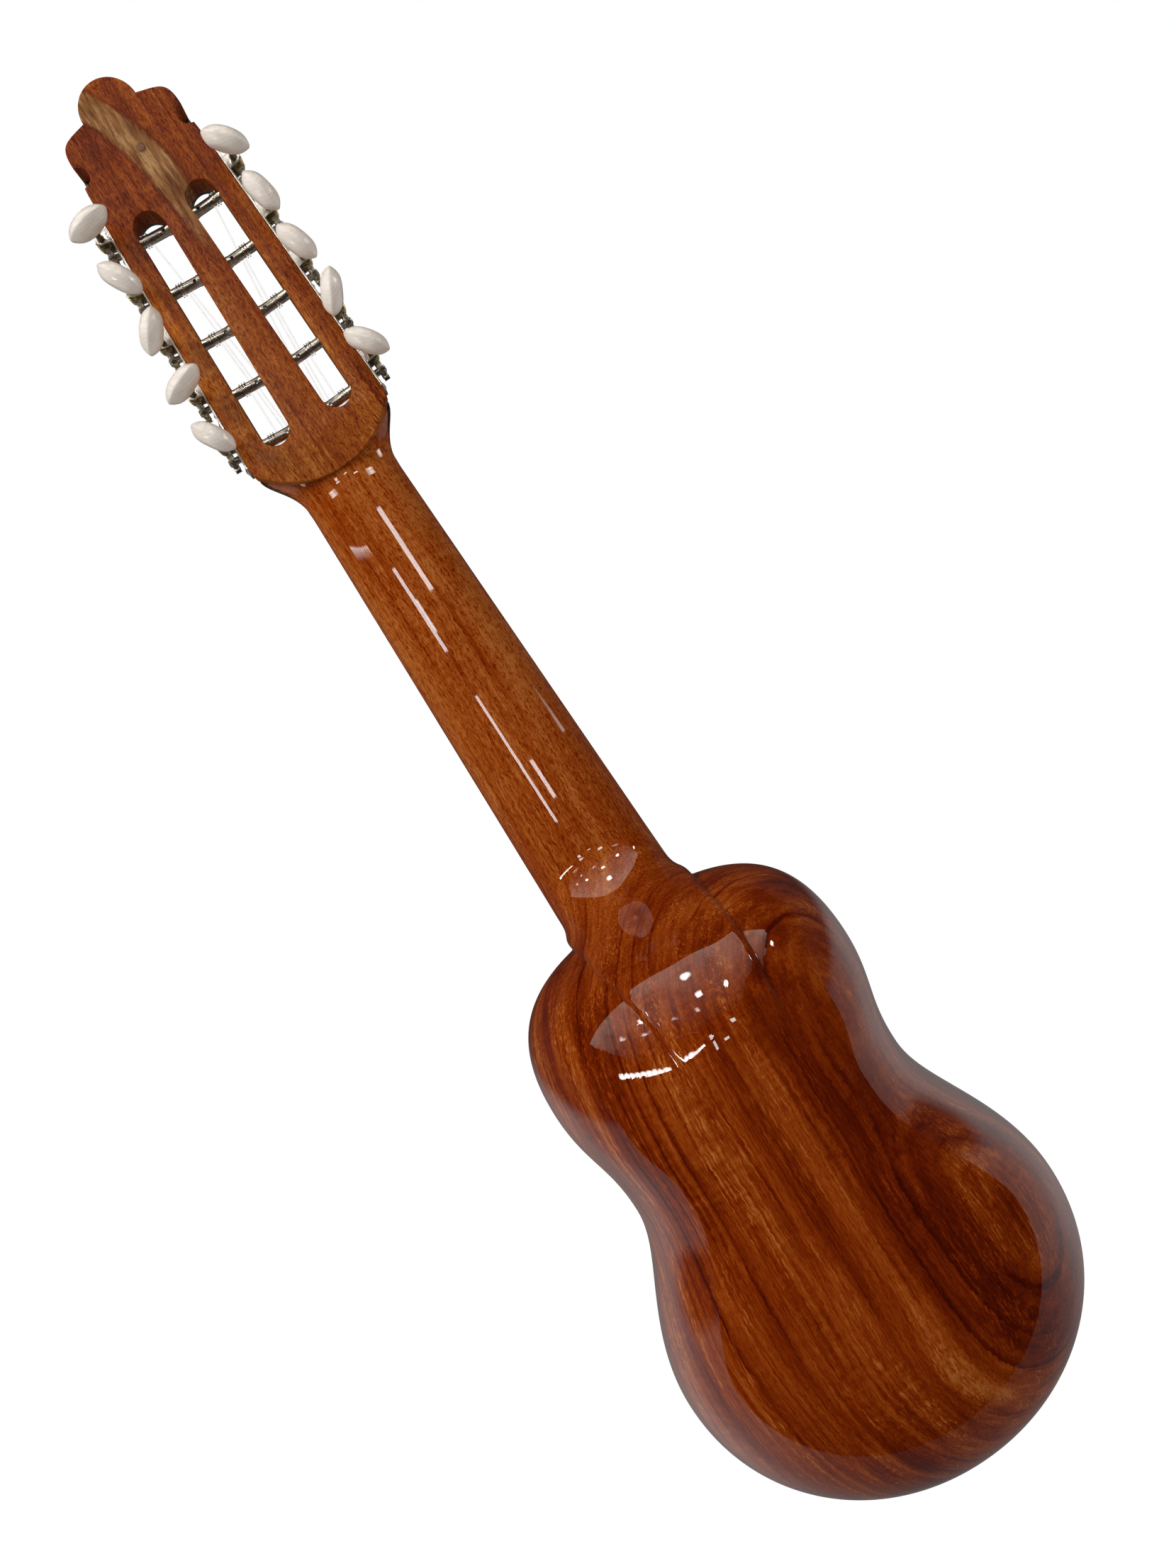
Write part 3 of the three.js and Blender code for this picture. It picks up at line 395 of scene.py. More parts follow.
def bar(
    name: str, profile: Profile, half: float, ease: float, place: Matrix, finish: Material, segments: int = 3
) -> Piece:
    """Draws a profile out into a bar with eased edges.

    Args:
        name: Name of the piece.
        profile: Corners (u, v) of the section.
        half: Half the bar's length along the third axis.
        ease: Width of the eased edges.
        place: Matrix from (u, v, w) to the frame.
        finish: The piece's material.
        segments: Segments of the eased edges.

    Returns:
        The piece.
    """
    shape = prism(profile, -half, half)
    bmesh.ops.bevel(
        shape, geom=list(shape.edges), offset=ease, offset_type="OFFSET", segments=segments,
        profile=0.5, affect="EDGES", material=-1, clamp_overlap=True,
    )
    return shade(finished(name, shape, place, finish), 30.0)


def wire(name: str, route: Sequence[Vector], radius: float, finish: Material) -> Piece:
    """Draws a round wire along a route.

    Args:
        name: Name of the piece.
        route: Points in millimetres.
        radius: Radius in millimetres.
        finish: The piece's material.

    Returns:
        The piece.
    """
    curve = bpy.data.curves.new(name, "CURVE")
    curve.dimensions = "3D"
    curve.bevel_depth = radius * MM
    curve.bevel_resolution = 3
    curve.use_fill_caps = True
    curve.twist_mode = "MINIMUM"
    draw_line(curve, [spot * MM for spot in route], False)
    piece = settle(linked(name, curve))
    piece.data.materials.append(finish)
    return shade(piece, 50.0)


def seat(piece: Piece, body: str, *nodes: str) -> None:
    """Lets a piece ride on a body and stand for CAD nodes.

    Args:
        piece: The piece.
        body: Name of the body.
        nodes: Names of the nodes.
    """
    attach(piece, body)
    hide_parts(*nodes)
    LOG.info("%s with %d faces, on %s", piece.name, len(piece.data.polygons), body)


# Finishes


@dataclass(frozen=True)
class Value:
    """Output of a node, with which a finish reckons as with a number."""

    graph: Graph
    socket: bpy.types.NodeSocket

    def __add__(self, other: Value | float) -> Value:
        """Sum of two values."""
        return self.graph.math("ADD", self, other)

    def __sub__(self, other: Value | float) -> Value:
        """Difference of two values."""
        return self.graph.math("SUBTRACT", self, other)

    def __mul__(self, other: Value | float) -> Value:
        """Product of two values."""
        return self.graph.math("MULTIPLY", self, other)

    def __truediv__(self, other: Value | float) -> Value:
        """Quotient of two values."""
        return self.graph.math("DIVIDE", self, other)

    def __abs__(self) -> Value:
        """Value without its sign."""
        return self.graph.math("ABSOLUTE", self)

    def swing(self, width: float) -> Value:
        """Noise brought from 0 to 1 to half a width on each side of 0."""
        return (self - 0.5) * width

    def span(self, low: float, high: float, first: float = 0.0, last: float = 1.0) -> Value:
        """Value brought smoothly from low and high to first and last, and held there."""
        ranges = {"From Min": low, "From Max": high, "To Min": first, "To Max": last}
        return self.graph.node("MapRange", {"Value": self, **ranges}, interpolation_type="SMOOTHSTEP")

    def relief(self, depth: float) -> Value:
        """Normal bent by the value, taken as a height whose 1 is a depth in millimetres."""
        return self.graph.node("Bump", {"Height": self, "Distance": depth * MM, "Strength": 1.0})

    def parts(self) -> tuple[Value, ...]:
        """The three parts of a vector."""
        outputs = self.graph.node("SeparateXYZ", {0: self}).socket.node.outputs
        return tuple(Value(self.graph, socket) for socket in outputs)


class Graph:
    """Node graph of a material or of the world, which reads the place on an object in millimetres."""

    def __init__(self, owner: Material | bpy.types.World) -> None:
        """Starts with the nodes that the owner has from the first.

        Args:
            owner: The material or the world.
        """
        owner.use_nodes = True
        self.owner = owner
        self.tree = owner.node_tree

    def feed(self, target: bpy.types.NodeSocket, value: object) -> None:
        """Links a value of the graph, or sets a plain number, vector or colour.

        Args:
            target: The input that is fed.
            value: What it is fed.
        """
        if isinstance(value, Value):
            self.tree.links.new(value.socket, target)
        else:
            target.default_value = (*value, 1.0) if target.type == "RGBA" else value

    def set(self, node: bpy.types.Node, inputs: dict[str | int, object], output: str | int = 0) -> Value:
        """Feeds a node.

        Args:
            node: The node.
            inputs: What goes to its inputs, by their names or numbers.
            output: The output that is asked for.

        Returns:
            The output.
        """
        for key, value in inputs.items():
            self.feed(node.inputs[key], value)
        return Value(self, node.outputs[output])

    def node(
        self, kind: str, inputs: dict[str | int, object], output: str | int = 0, **settings: object
    ) -> Value:
        """Adds a node.

        Args:
            kind: Kind of node, without the prefix that all of them share.
            inputs: What goes to its inputs, by their names or numbers.
            output: The output that is asked for.
            settings: Properties of the node.

        Returns:
            The output.
        """
        made = self.tree.nodes.new(f"ShaderNode{kind}")
        for key, value in settings.items():
            setattr(made, key, value)
        return self.set(made, inputs, output)

    def math(self, operation: str, *values: Value | float, clamp: bool = False) -> Value:
        """Math node on values of the graph or plain numbers."""
        return self.node("Math", dict(enumerate(values)), operation=operation, use_clamp=clamp)

    def place(self) -> Value:
        """Place on the object in millimetres."""
        place = self.node("TexCoord", {}, "Object")
        return self.node("VectorMath", {0: place, "Scale": 1.0 / MM}, operation="SCALE")

    def mapped(self, scale: Point, source: Value | None = None) -> Value:
        """Place, or another vector, with each of its parts scaled."""
        return self.node("Mapping", {"Vector": source or self.place(), "Scale": scale})

    def noise(
        self, scale: Point, detail: float = 3.0, rough: float = 0.55, warp: float = 0.0,
        source: Value | None = None,
    ) -> Value:
        """Noise between 0 and 1.

        Args:
            scale: Turns of the noise in a millimetre of each axis.
            detail: Octaves.
            rough: Strength of the octaves.
            warp: Distortion.
            source: Vector that it follows, the place if none is given.

        Returns:
            The noise.
        """
        return self.node("TexNoise", {
            "Vector": self.mapped(scale, source), "Scale": 1.0, "Detail": detail, "Roughness": rough,
            "Distortion": warp,
        })

    def cells(self, scale: Point, source: Value) -> Value:
        """Distance to the nearest of scattered points."""
        return self.node("TexVoronoi", {"Vector": self.mapped(scale, source), "Scale": 1.0}, "Distance")

    def ramp(self, value: Value, stops: Sequence[Stop]) -> Value:
        """Colour read from a row of stops.

        Args:
            value: Where the row is read.
            stops: Places and their colours.

        Returns:
            The colour.
        """
        colour = self.node("ValToRGB", {0: value})
        elements = colour.socket.node.color_ramp.elements
        while len(elements) < len(stops):
            elements.new(0.5)
        for element, (place, shade_there) in zip(elements, stops):
            element.position = place
            element.color = (*shade_there, 1.0)
        return colour

    def blend(self, share: Value, first: Value | Colour, second: Value | Colour) -> Value:
        """Colour mixed from two, with a share of the second."""
        return self.node("Mix", {0: share, 6: first, 7: second}, 2, data_type="RGBA", blend_type="MIX")

    def ray(self, kind: str) -> Value:
        """Whether the ray that looks is of a kind."""
        return self.node("LightPath", {}, f"Is {kind} Ray")

    def glow(self, colour: Colour, strength: Value) -> Value:
        """Shader that gives light."""
        return self.node("Emission", {"Color": colour, "Strength": strength})

    def choose(self, share: Value, first: Value, second: Value) -> Value:
        """Shader mixed from two, with a share of the second."""
        return self.node("MixShader", {0: share, 1: first, 2: second})

    def show(self, shader: Value) -> None:
        """Lets a shader be seen."""
        output = next(node for node in self.tree.nodes if "Output" in node.bl_idname)
        self.feed(output.inputs["Surface"], shader)

    def finish(self, sockets: dict[str, object]) -> Material:
        """Material whose own shader has these sockets fed."""
        self.set(self.tree.nodes["Principled BSDF"], sockets)
        return self.owner


@dataclass(frozen=True)
class Finish:
    """Finish with a name of its own."""

    name: str

    def graph(self) -> Graph:
        """Graph of a new material."""
        return Graph(bpy.data.materials.new(self.name))


@dataclass(frozen=True)
class Grain:
    """Coordinates of the tree that the block was sawn from."""

    pith: Pair = (-150.0, 190.0)
    wander: float = 16.0
    comb: float = 1.3

    def space(self, graph: Graph) -> Value:
        """Vector in the tree's own coordinates.

        Args:
            graph: Graph of the material.

        Returns:
            The distance from the pith, the way round it and the height, in millimetres.
        """
        x, y, z = graph.place().parts()
        slow = graph.noise((0.009, 0.009, 0.0045), 2.0, 0.5)
        curl = graph.noise((0.09, 0.09, 0.42), 2.0, 0.6)
        across = x - self.pith[0] + slow.swing(self.wander)
        deep = y - self.pith[1]
        flat = graph.node("CombineXYZ", {0: across, 1: deep})
        away = graph.node("VectorMath", {0: flat}, "Value", operation="LENGTH")
        radius = away + curl.swing(self.comb)
        around = graph.math("ARCTAN2", deep, across) * math.hypot(*self.pith)
        return graph.node("CombineXYZ", {0: radius, 1: around, 2: z})


@dataclass(frozen=True)
class CarvedWood(Finish):
    """One block of warm brown wood with bands, rings, golden streaks, curl and pores."""

    shades: tuple[Stop, ...] = (
        (0.0, (0.052, 0.0034, 0.0002)), (0.28, (0.115, 0.0092, 0.0003)), (0.52, (0.205, 0.0240, 0.0005)),
        (0.76, (0.33, 0.062, 0.005)), (1.0, (0.48, 0.150, 0.030)),
    )
    pore_colour: Colour = (0.040, 0.006, 0.0015)
    grain: Grain = field(default_factory=Grain)
    ring_width: float = 6.5
    band: float = 0.72
    streak: float = 0.66
    fleck: float = 0.3
    fibre: float = 0.26
    curl: float = 0.22
    pores: float = 0.5
    dash: float = 0.16
    plain: float = 0.55
    plain_from: Pair = (-250.0, -196.0)
    lift: float = 0.51
    # Lift of the tone on the neck: painted light that makes the neck lighter where the light from above falls
    # on it, partly the wood's own change of tone.
    neck_lift: float = 0.0
    neck_dash: float = 0.0
    tip_from: Pair = (60.0, 190.0)
    tip_dark: float = 0.0
    coat: float = 1.0
    specular: float = 0.0
    rough: Pair = (0.34, 0.5)
    pore_depth: float = 0.02
    sapwood: bool = False
    sap_foot: Pair = (134.0, 56.0)
    sap_path: Pair = (17.5, -5.5)

    def figure(self, graph: Graph, space: Value) -> Value:
        """Large figure of the wood, with the tone lifted on the neck, partly as painted light.

        Args:
            graph: The material's graph.
            space: Vector in the tree's own coordinates.

        Returns:
            The tone, from dark to golden.
        """
        radius, _, z = space.parts()
        bands = graph.noise((0.070, 0.012, 0.0038), 3.0, 0.55, source=space)
        streaks = graph.noise((0.46, 0.06, 0.0125), 4.0, 0.64, source=space)
        curl = graph.noise((0.10, 0.06, 0.36), 2.0, 0.5, 0.8, space)
        curled = graph.noise((0.10, 0.02, 0.010), 2.0, source=space).span(0.42, 0.66)
        phase = graph.math("FRACT", radius / self.ring_width)
        ringed = graph.noise((0.11, 0.01, 0.009), 1.0, source=space).span(0.45, 0.6)
        rings = phase.span(0.74, 0.93) * phase.span(0.955, 1.0, 1.0, 0.0) * ringed * 0.3
        tone = streaks.swing(1.6 * self.streak) + bands.swing(1.7 * self.band) - rings
        tone = tone * z.span(*self.plain_from, 1.0, self.plain)
        tone = tone + curl.swing(2.0 * self.curl) * curled
        # Lifts the tone up the neck: painted light on the upper part, partly the wood's own change of tone.
        return tone + z.span(*self.plain_from, self.lift, self.lift + self.neck_lift)

    def make(self) -> Material:
        """Builds the material."""
        graph = self.graph()
        space = self.grain.space(graph)
        z = space.parts()[2]
        fibre = graph.noise((1.9, 0.9, 0.09), 3.0, 0.65, source=space)
        dashes = graph.noise((2.7, 1.6, 0.34), 2.0, 0.6, 0.5, space).span(0.48, 0.66)
        flecks = graph.noise((1.3, 0.7, 0.12), 3.0, 0.55, source=space).span(0.50, 0.66)
        patches = graph.noise((0.12, 0.03, 0.012), 2.0, 0.5, source=space).span(0.46, 0.62)
        tone = self.figure(graph, space) + fibre.swing(2.0 * self.fibre)
        tone = tone + z.span(*self.tip_from, 0.0, -self.tip_dark)
        tone = tone + dashes * z.span(*self.plain_from, -self.dash, -self.dash - self.neck_dash)
        tone = tone + flecks * patches * z.span(*self.plain_from, self.fleck, self.fleck * self.plain)
        colour = graph.ramp(tone, self.shades)
        if self.sapwood:
            colour = self.with_sapwood(graph, colour, fibre)
        groups = graph.noise((0.25, 0.1, 0.03), 2.0, source=space).span(0.38, 0.58)
        pores = graph.cells((1.9, 1.2, 0.19), space).span(0.12, 0.27, 1.0, 0.0) * groups
        sockets = {
            "Base Color": graph.blend(pores * self.pores, colour, self.pore_colour),
            "Roughness": graph.noise((0.03, 0.03, 0.03), 4.0, 0.6).span(0.3, 0.7, *self.rough),
            "Normal": (fibre * 0.3 - pores).relief(self.pore_depth),
            "Specular IOR Level": self.specular,
            "Coat Weight": self.coat,
            "Coat Roughness": 0.02,
            "Coat IOR": 1.36,
        }
        if self.coat > 0:
            sockets["Coat Normal"] = graph.noise((0.04, 0.04, 0.025), 2.0, 0.5).relief(0.03)
        return graph.finish(sockets)

    def with_sapwood(self, graph: Graph, colour: Value, fibre: Value) -> Value:
        """Adds the pale streak that runs down from the tip of the headstock.

        Args:
            graph: The material's graph.
            colour: Colour of the heartwood.
            fibre: Fine noise along the grain.

        Returns:
            The colour with the streak.
        """
        x, _, z = graph.place().parts()
        high = graph.math("MAXIMUM", (z - self.sap_foot[0]) / self.sap_foot[1], 0.0)
        wave = graph.noise((0.0, 0.0, 0.03), 2.0)
        middle = high * high * self.sap_path[0] + self.sap_path[1] + wave.swing(5.0)
        inside = z.span(96.0, 150.0, 2.0, 6.2) - abs(x - middle) + fibre.swing(3.0)
        fade = z.span(100.0, 142.0)
        edge = abs(inside + 0.8).span(0.0, 1.3, 1.0, 0.0) * fade
        soft = graph.noise((0.5, 0.3, 0.045), 3.0, 0.6)
        pale = graph.ramp(soft, (
            (0.3, (0.11, 0.036, 0.009)), (0.5, (0.29, 0.13, 0.04)), (0.7, (0.60, 0.36, 0.15)),
        ))
        colour = graph.blend(edge * 0.55, colour, (0.09, 0.02, 0.006))
        return graph.blend(inside.span(-0.5, 1.2) * fade * 0.9, colour, pale)


@dataclass(frozen=True)
class PlainWood(Finish):
    """Straight-grained wood such as spruce, ebony, veneer, or the bare inside of the bowl."""

    light: Colour
    dark: Colour
    ring_width: float
    contrast: float
    rough: float
    coat: float = 0.0

    def make(self) -> Material:
        """Builds the material."""
        graph = self.graph()
        x, y, _ = graph.place().parts()
        across = x + y * 0.35 + graph.noise((0.03, 0.03, 0.004)) * 6.0
        phase = graph.math("FRACT", across / self.ring_width)
        line = graph.math("MAXIMUM", phase.span(0.45, 0.95), phase.span(0.0, 0.08, 1.0, 0.0))
        tone = line * self.contrast + graph.noise((2.2, 2.2, 0.05)) * 0.45
        silk = graph.noise((0.09, 0.09, 0.2), 2.0)
        return graph.finish({
            "Base Color": graph.ramp(tone, ((0.1, self.light), (0.9, self.dark))),
            "Roughness": silk.span(0.3, 0.7, self.rough, self.rough + 0.14),
            "Normal": tone.relief(0.01),
            "Coat Weight": self.coat,
            "Coat Roughness": 0.12,
        })


@dataclass(frozen=True)
class PlugWood(Finish):
    """End grain of the round plug, with a dark ring where it meets the headstock, painted shade of the narrow
    seam there.
    """

    middle: Pair = (-2.3, 159.05)
    ring: Pair = (1.25, 1.6)
    light: Colour = (0.24, 0.075, 0.020)
    dark: Colour = (0.13, 0.034, 0.009)
    # Dark ring at the plug's edge: painted shade of the seam round the plug.
    rim: Colour = (0.020, 0.006, 0.003)

    def make(self) -> Material:
        """Builds the material."""
        graph = self.graph()
        x, _, z = graph.place().parts()
        across = x - self.middle[0]
        along = (z - self.middle[1]) / math.cos(HEAD_TILT)
        out = graph.math("SQRT", across * across + along * along)
        grain = graph.noise((2.4, 2.4, 2.4), 3.0, 0.6)
        tone = graph.math("SINE", out * 9.0) * 0.25 + grain.span(0.3, 0.7)
        wood = graph.blend(tone, self.light, self.dark)
        return graph.finish({
            # The dark ring towards the edge is painted shade of the seam where the plug meets the headstock.
            "Base Color": graph.blend(out.span(*self.ring), wood, self.rim),
            "Roughness": grain.span(0.3, 0.7, 0.4, 0.6),
            "Normal": tone.relief(0.02),
        })


@dataclass(frozen=True)
class Metal(Finish):
    """Bare or plated metal with drawn lines, small spots and worn places."""

    bright: Colour
    dull: Colour
    rough: float
    spots: float

    def make(self) -> Material:
        """Builds the material."""
        graph = self.graph()
        cloud = graph.noise((0.16, 0.16, 0.16), 4.0, 0.62)
        pits = graph.noise((1.4, 1.4, 1.4), 3.0, 0.7).span(0.60, 0.72)
        share = graph.math("MAXIMUM", cloud.span(0.42, 0.68) * self.spots, pits * 0.7)
        return graph.finish({
            "Base Color": graph.blend(share, self.bright, self.dull),
            "Roughness": cloud.span(0.3, 0.75, self.rough, self.rough + 0.2),
            "Normal": graph.noise((4.0, 4.0, 0.5), 2.0).relief(0.006),
            "Metallic": 1.0,
        })


@dataclass(frozen=True)
class Ivory(Finish):
    """Off-white cast plastic or bone with faint parallel lines."""

    light: Colour = (0.96, 0.90, 0.82)
    shade: Colour = (0.84, 0.75, 0.64)

    def make(self) -> Material:
        """Builds the material."""
        graph = self.graph()
        _, y, z = graph.place().parts()
        across = y + z * 0.5 + graph.noise((0.08, 0.08, 0.08), 2.0) * 5.0
        lines = graph.math("SINE", across * 4.2).span(0.1, 0.95)
        cloud = graph.noise((0.2, 0.2, 0.2)).span(0.35, 0.7)
        return graph.finish({
            "Base Color": graph.blend(lines * 0.35 + cloud * 0.5, self.light, self.shade),
            "Roughness": graph.noise((0.9, 0.9, 0.9)).span(0.3, 0.7, 0.26, 0.44),
            "Normal": lines.relief(0.012),
            "Coat Weight": 0.25,
            "Coat Roughness": 0.15,
            "Subsurface Weight": 0.12,
            "Subsurface Radius": (1.0, 0.7, 0.45),
            "Subsurface Scale": 2.0 * MM,
        })


@dataclass(frozen=True)
class Nylon(Finish):
    """Clear, slightly milky string."""

    clear: Colour = (0.99, 0.985, 0.97)
    milky: Colour = (0.93, 0.91, 0.87)

    def make(self) -> Material:
        """Builds the material."""
        graph = self.graph()
        cloud = graph.noise((0.4, 0.4, 0.4), 2.0)
        return graph.finish({
            "Base Color": graph.blend(cloud.span(0.3, 0.7), self.clear, self.milky),
            "Roughness": cloud.span(0.3, 0.7, 0.02, 0.10),
            "Transmission Weight": 0.97,
            "IOR": 1.18,
        })


# Forms of the carved block


@dataclass(frozen=True)
class BowlForm:
    """Outline of the body and the dome that rises from it, as the CAD draws them."""

    top: float = -217.0
    tail: float = -465.0
    upper: Pair = (70.5, -269.0)
    waist: Pair = (62.3, -319.0)
    lower: Pair = (85.5, -391.0)
    rim: float = 3.1
    depth: float = 84.0
    spine: Pair = (0.34, 0.66)
    power: Pair = (2.05, 2.45)
    inset: float = 0.0
    steps: int = 40

    def half(self) -> np.ndarray:
        """Right half of the outline from the neck to the tail, as points (x, z)."""
        top, tail = self.top, self.tail + self.inset
        (ux, uz), (wx, wz), (lx, lz) = ((x - self.inset, z) for x, z in (self.upper, self.waist, self.lower))
        rise, pinch, swell, fall = top - uz, uz - wz, wz - lz, lz - tail
        spans = (
            ((0, top), (ux * 0.74, top), (ux, uz + rise * 0.66), (ux, uz)),
            ((ux, uz), (ux, uz - pinch * 0.45), (wx, wz + pinch * 0.45), (wx, wz)),
            ((wx, wz), (wx, wz - swell * 0.3), (lx, lz + swell * 0.42), (lx, lz)),
            ((lx, lz), (lx, lz - fall * 0.57), (lx * 0.57, tail), (0, tail)),
        )
        runs = [bezier(span, self.steps) for span in spans]
        return np.vstack([runs[0]] + [run[1:] for run in runs[1:]])

    def whole(self, distance: float) -> np.ndarray:
        """Closed outline, moved inwards square to itself by a distance.

        Args:
            distance: How far it is moved.

        Returns:
            The points (x, z).
        """
        half = self.half()
        along = np.gradient(half, axis=0)
        along /= np.linalg.norm(along, axis=1)[:, None]
        half = half + np.column_stack([along[:, 1], -along[:, 0]]) * distance
        half[0, 0] = half[-1, 0] = 0.0
        return mirrored(half)

    def lines(self) -> tuple[np.ndarray, np.ndarray, np.ndarray, np.ndarray]:
        """Rim points, spine heights and powers along the outline."""
        rim_x, rim_z = self.half().T
        along = (rim_z[0] - rim_z) / (rim_z[0] - rim_z[-1])
        spine = lerp(rim_z[0], rim_z[-1], lerp(*self.spine, along))
        return rim_x, rim_z, spine, lerp(*self.power, smooth(along * 2.0))

    def place(self, share: float, lift: float, mirror: float) -> Vector:
        """Point of the dome.

        Args:
            share: Share of the outline from the neck to the tail.
            lift: Turn from the rim to the spine; below 0 the point lies on the flat front.
            mirror: 1 for the right half, -1 for the left.

        Returns:
            The point in millimetres.
        """
        lines = self.lines()
        index = np.arange(len(lines[0]))
        rim_x, rim_z, middle, bend = (np.interp(share * index[-1], index, line) for line in lines)
        inward = max(math.cos(lift), 0.0)
        rise = 0.0
        if lift > 0:
            inward = inward ** (2 / bend)
            rise = math.sin(lift) ** (2 / bend)
        return Vector((
            mirror * rim_x * inward, self.rim + self.depth * rise, middle + (rim_z - middle) * inward,
        ))

    def gauge(self, points: np.ndarray) -> np.ndarray:
        """Value that is 0 on the dome, negative inside and positive outside.

        Args:
            points: Array of points in millimetres.

        Returns:
            One value for each point.
        """
        rim_x, rim_z, spine, power = self.lines()
        index = np.arange(len(rim_x), dtype=float)
        x, z = np.abs(points[:, 0]), points[:, 2]
        low = np.zeros(len(points))
        high = np.full(len(points), index[-1])
        for _ in range(26):
            spot = 0.5 * (low + high)
            rx, rz, sz = (np.interp(spot, index, line) for line in (rim_x, rim_z, spine))
            forward = x * (rz - sz) - (z - sz) * rx > 0
            low = np.where(forward, spot, low)
            high = np.where(forward, high, spot)
        spot = 0.5 * (low + high)
        rx, rz, sz, bend = (np.interp(spot, index, line) for line in (rim_x, rim_z, spine, power))
        reach = rx**2 + (rz - sz) ** 2
        share = np.maximum(x * rx + (z - sz) * (rz - sz), 0.0) / reach
        rise = np.maximum(points[:, 1] - self.rim, 0.0) / self.depth
        return (share**bend + rise**bend) ** (1 / bend) - 1.0


@dataclass(frozen=True)
class NeckForm:
    """Half width and depth of the neck, its flare and its heel, as the CAD draws them."""

    nut_half: float = 22.7
    join_half: float = 27.0
    nut_depth: float = 15.0
    join_depth: float = 18.5
    power: float = 2.15
    heel_start: float = 188.0
    heel_length: float = 98.0
    heel_depth: float = 85.5
    heel_top_half: float = 21.5
    heel_power: float = 0.9
    heel_bend: float = 2.9
    heel_sway: float = -6.2
    flare_length: float = 28.0
    flare_power: float = 1.6
    flare_step: float = 1.5
    head_half: float = 33.8
    head_back: float = 15.5
    arc_foot: float = 8.4
    arc_radius: float = 42.0
    top: float = 0.3
    shoulder: float = -217.0

    def half(self, z: np.ndarray) -> np.ndarray:
        """Half width at heights z.

        Args:
            z: The heights.

        Returns:
            The half widths.
        """
        flare = smooth((np.maximum(z, 0.0) / self.flare_length) ** self.flare_power)
        flared = lerp(self.nut_half, self.head_half, flare)
        plain = lerp(self.nut_half, self.join_half, np.clip(z / self.shoulder, 0.0, 1.0))
        reach = self.heel_start + self.heel_length + self.shoulder
        heel = lerp(self.join_half, self.heel_top_half, smooth((self.shoulder - z) / reach))
        return np.where(z > 0, flared, np.where(z > self.shoulder, plain, heel))

    def depth(self, z: np.ndarray) -> np.ndarray:
        """Depth at heights z.

        Args:
            z: The heights.

        Returns:
            The depths.
        """
        plain = lerp(self.nut_depth, self.join_depth, -z / self.heel_start)
        under = self.head_back + z * math.tan(HEAD_TILT) - self.flare_step - self.top
        flared = lerp(plain, under, smooth(z / self.arc_foot))
        share = np.clip((-z - self.heel_start) / self.heel_length, 0.0, 1.0)
        heel = lerp(plain, self.heel_depth, smooth(share**self.heel_power))
        return np.where(z > 0, flared, heel)

    def bend(self, z: np.ndarray) -> np.ndarray:
        """Power of the section at heights z, which makes the heel squarer than the neck."""
        return lerp(self.power, self.heel_bend, smooth((-z - 198.0) / 34.0))

    def middle(self, z: np.ndarray) -> np.ndarray:
        """Place of the section's middle across the instrument at heights z."""
        return self.heel_sway * smooth((-z - 205.0) / 50.0)

    def gauge(self, points: np.ndarray) -> np.ndarray:
        """Value that is 0 on the neck's back and sides, negative inside and positive outside.

        Args:
            points: Array of points in millimetres.

        Returns:
            One value for each point.
        """
        z = points[:, 2]
        power = self.bend(z)
        across = np.abs(points[:, 0] - self.middle(z)) / self.half(z)
        rise = np.maximum(points[:, 1] - self.top, 0.0) / self.depth(z)
        return (across**power + rise**power) ** (1 / power) - 1.0

    def section(self, z: float) -> tuple[float, ...]:
        """Half width, depth, middle and power of the section at one height."""
        at = np.array([z])
        return tuple(float(size(at)[0]) for size in (self.half, self.depth, self.middle, self.bend))

    def turn(self, point: Vector) -> float:
        """Turn round its section at which a point lies.

        Args:
            point: The point.

        Returns:
            The turn in radians.
        """
        half, depth, middle, power = self.section(point.z)
        rise = signed_power((point.y - self.top) / depth, power / 2)
        return math.atan2(rise, signed_power((point.x - middle) / half, power / 2))

    def place(self, turn: float, z: float) -> Vector:
        """Point of the section at a turn, nearly flat on the front.

        Args:
            turn: The turn in radians.
            z: Height of the section.

        Returns:
            The point in millimetres.
        """
        half, depth, middle, power = self.section(z)
        across, rise = (signed_power(part, 2 / power) for part in (math.cos(turn), math.sin(turn)))
        return Vector((middle + half * across, self.top + rise * (depth if rise > 0 else 1e-3), z))


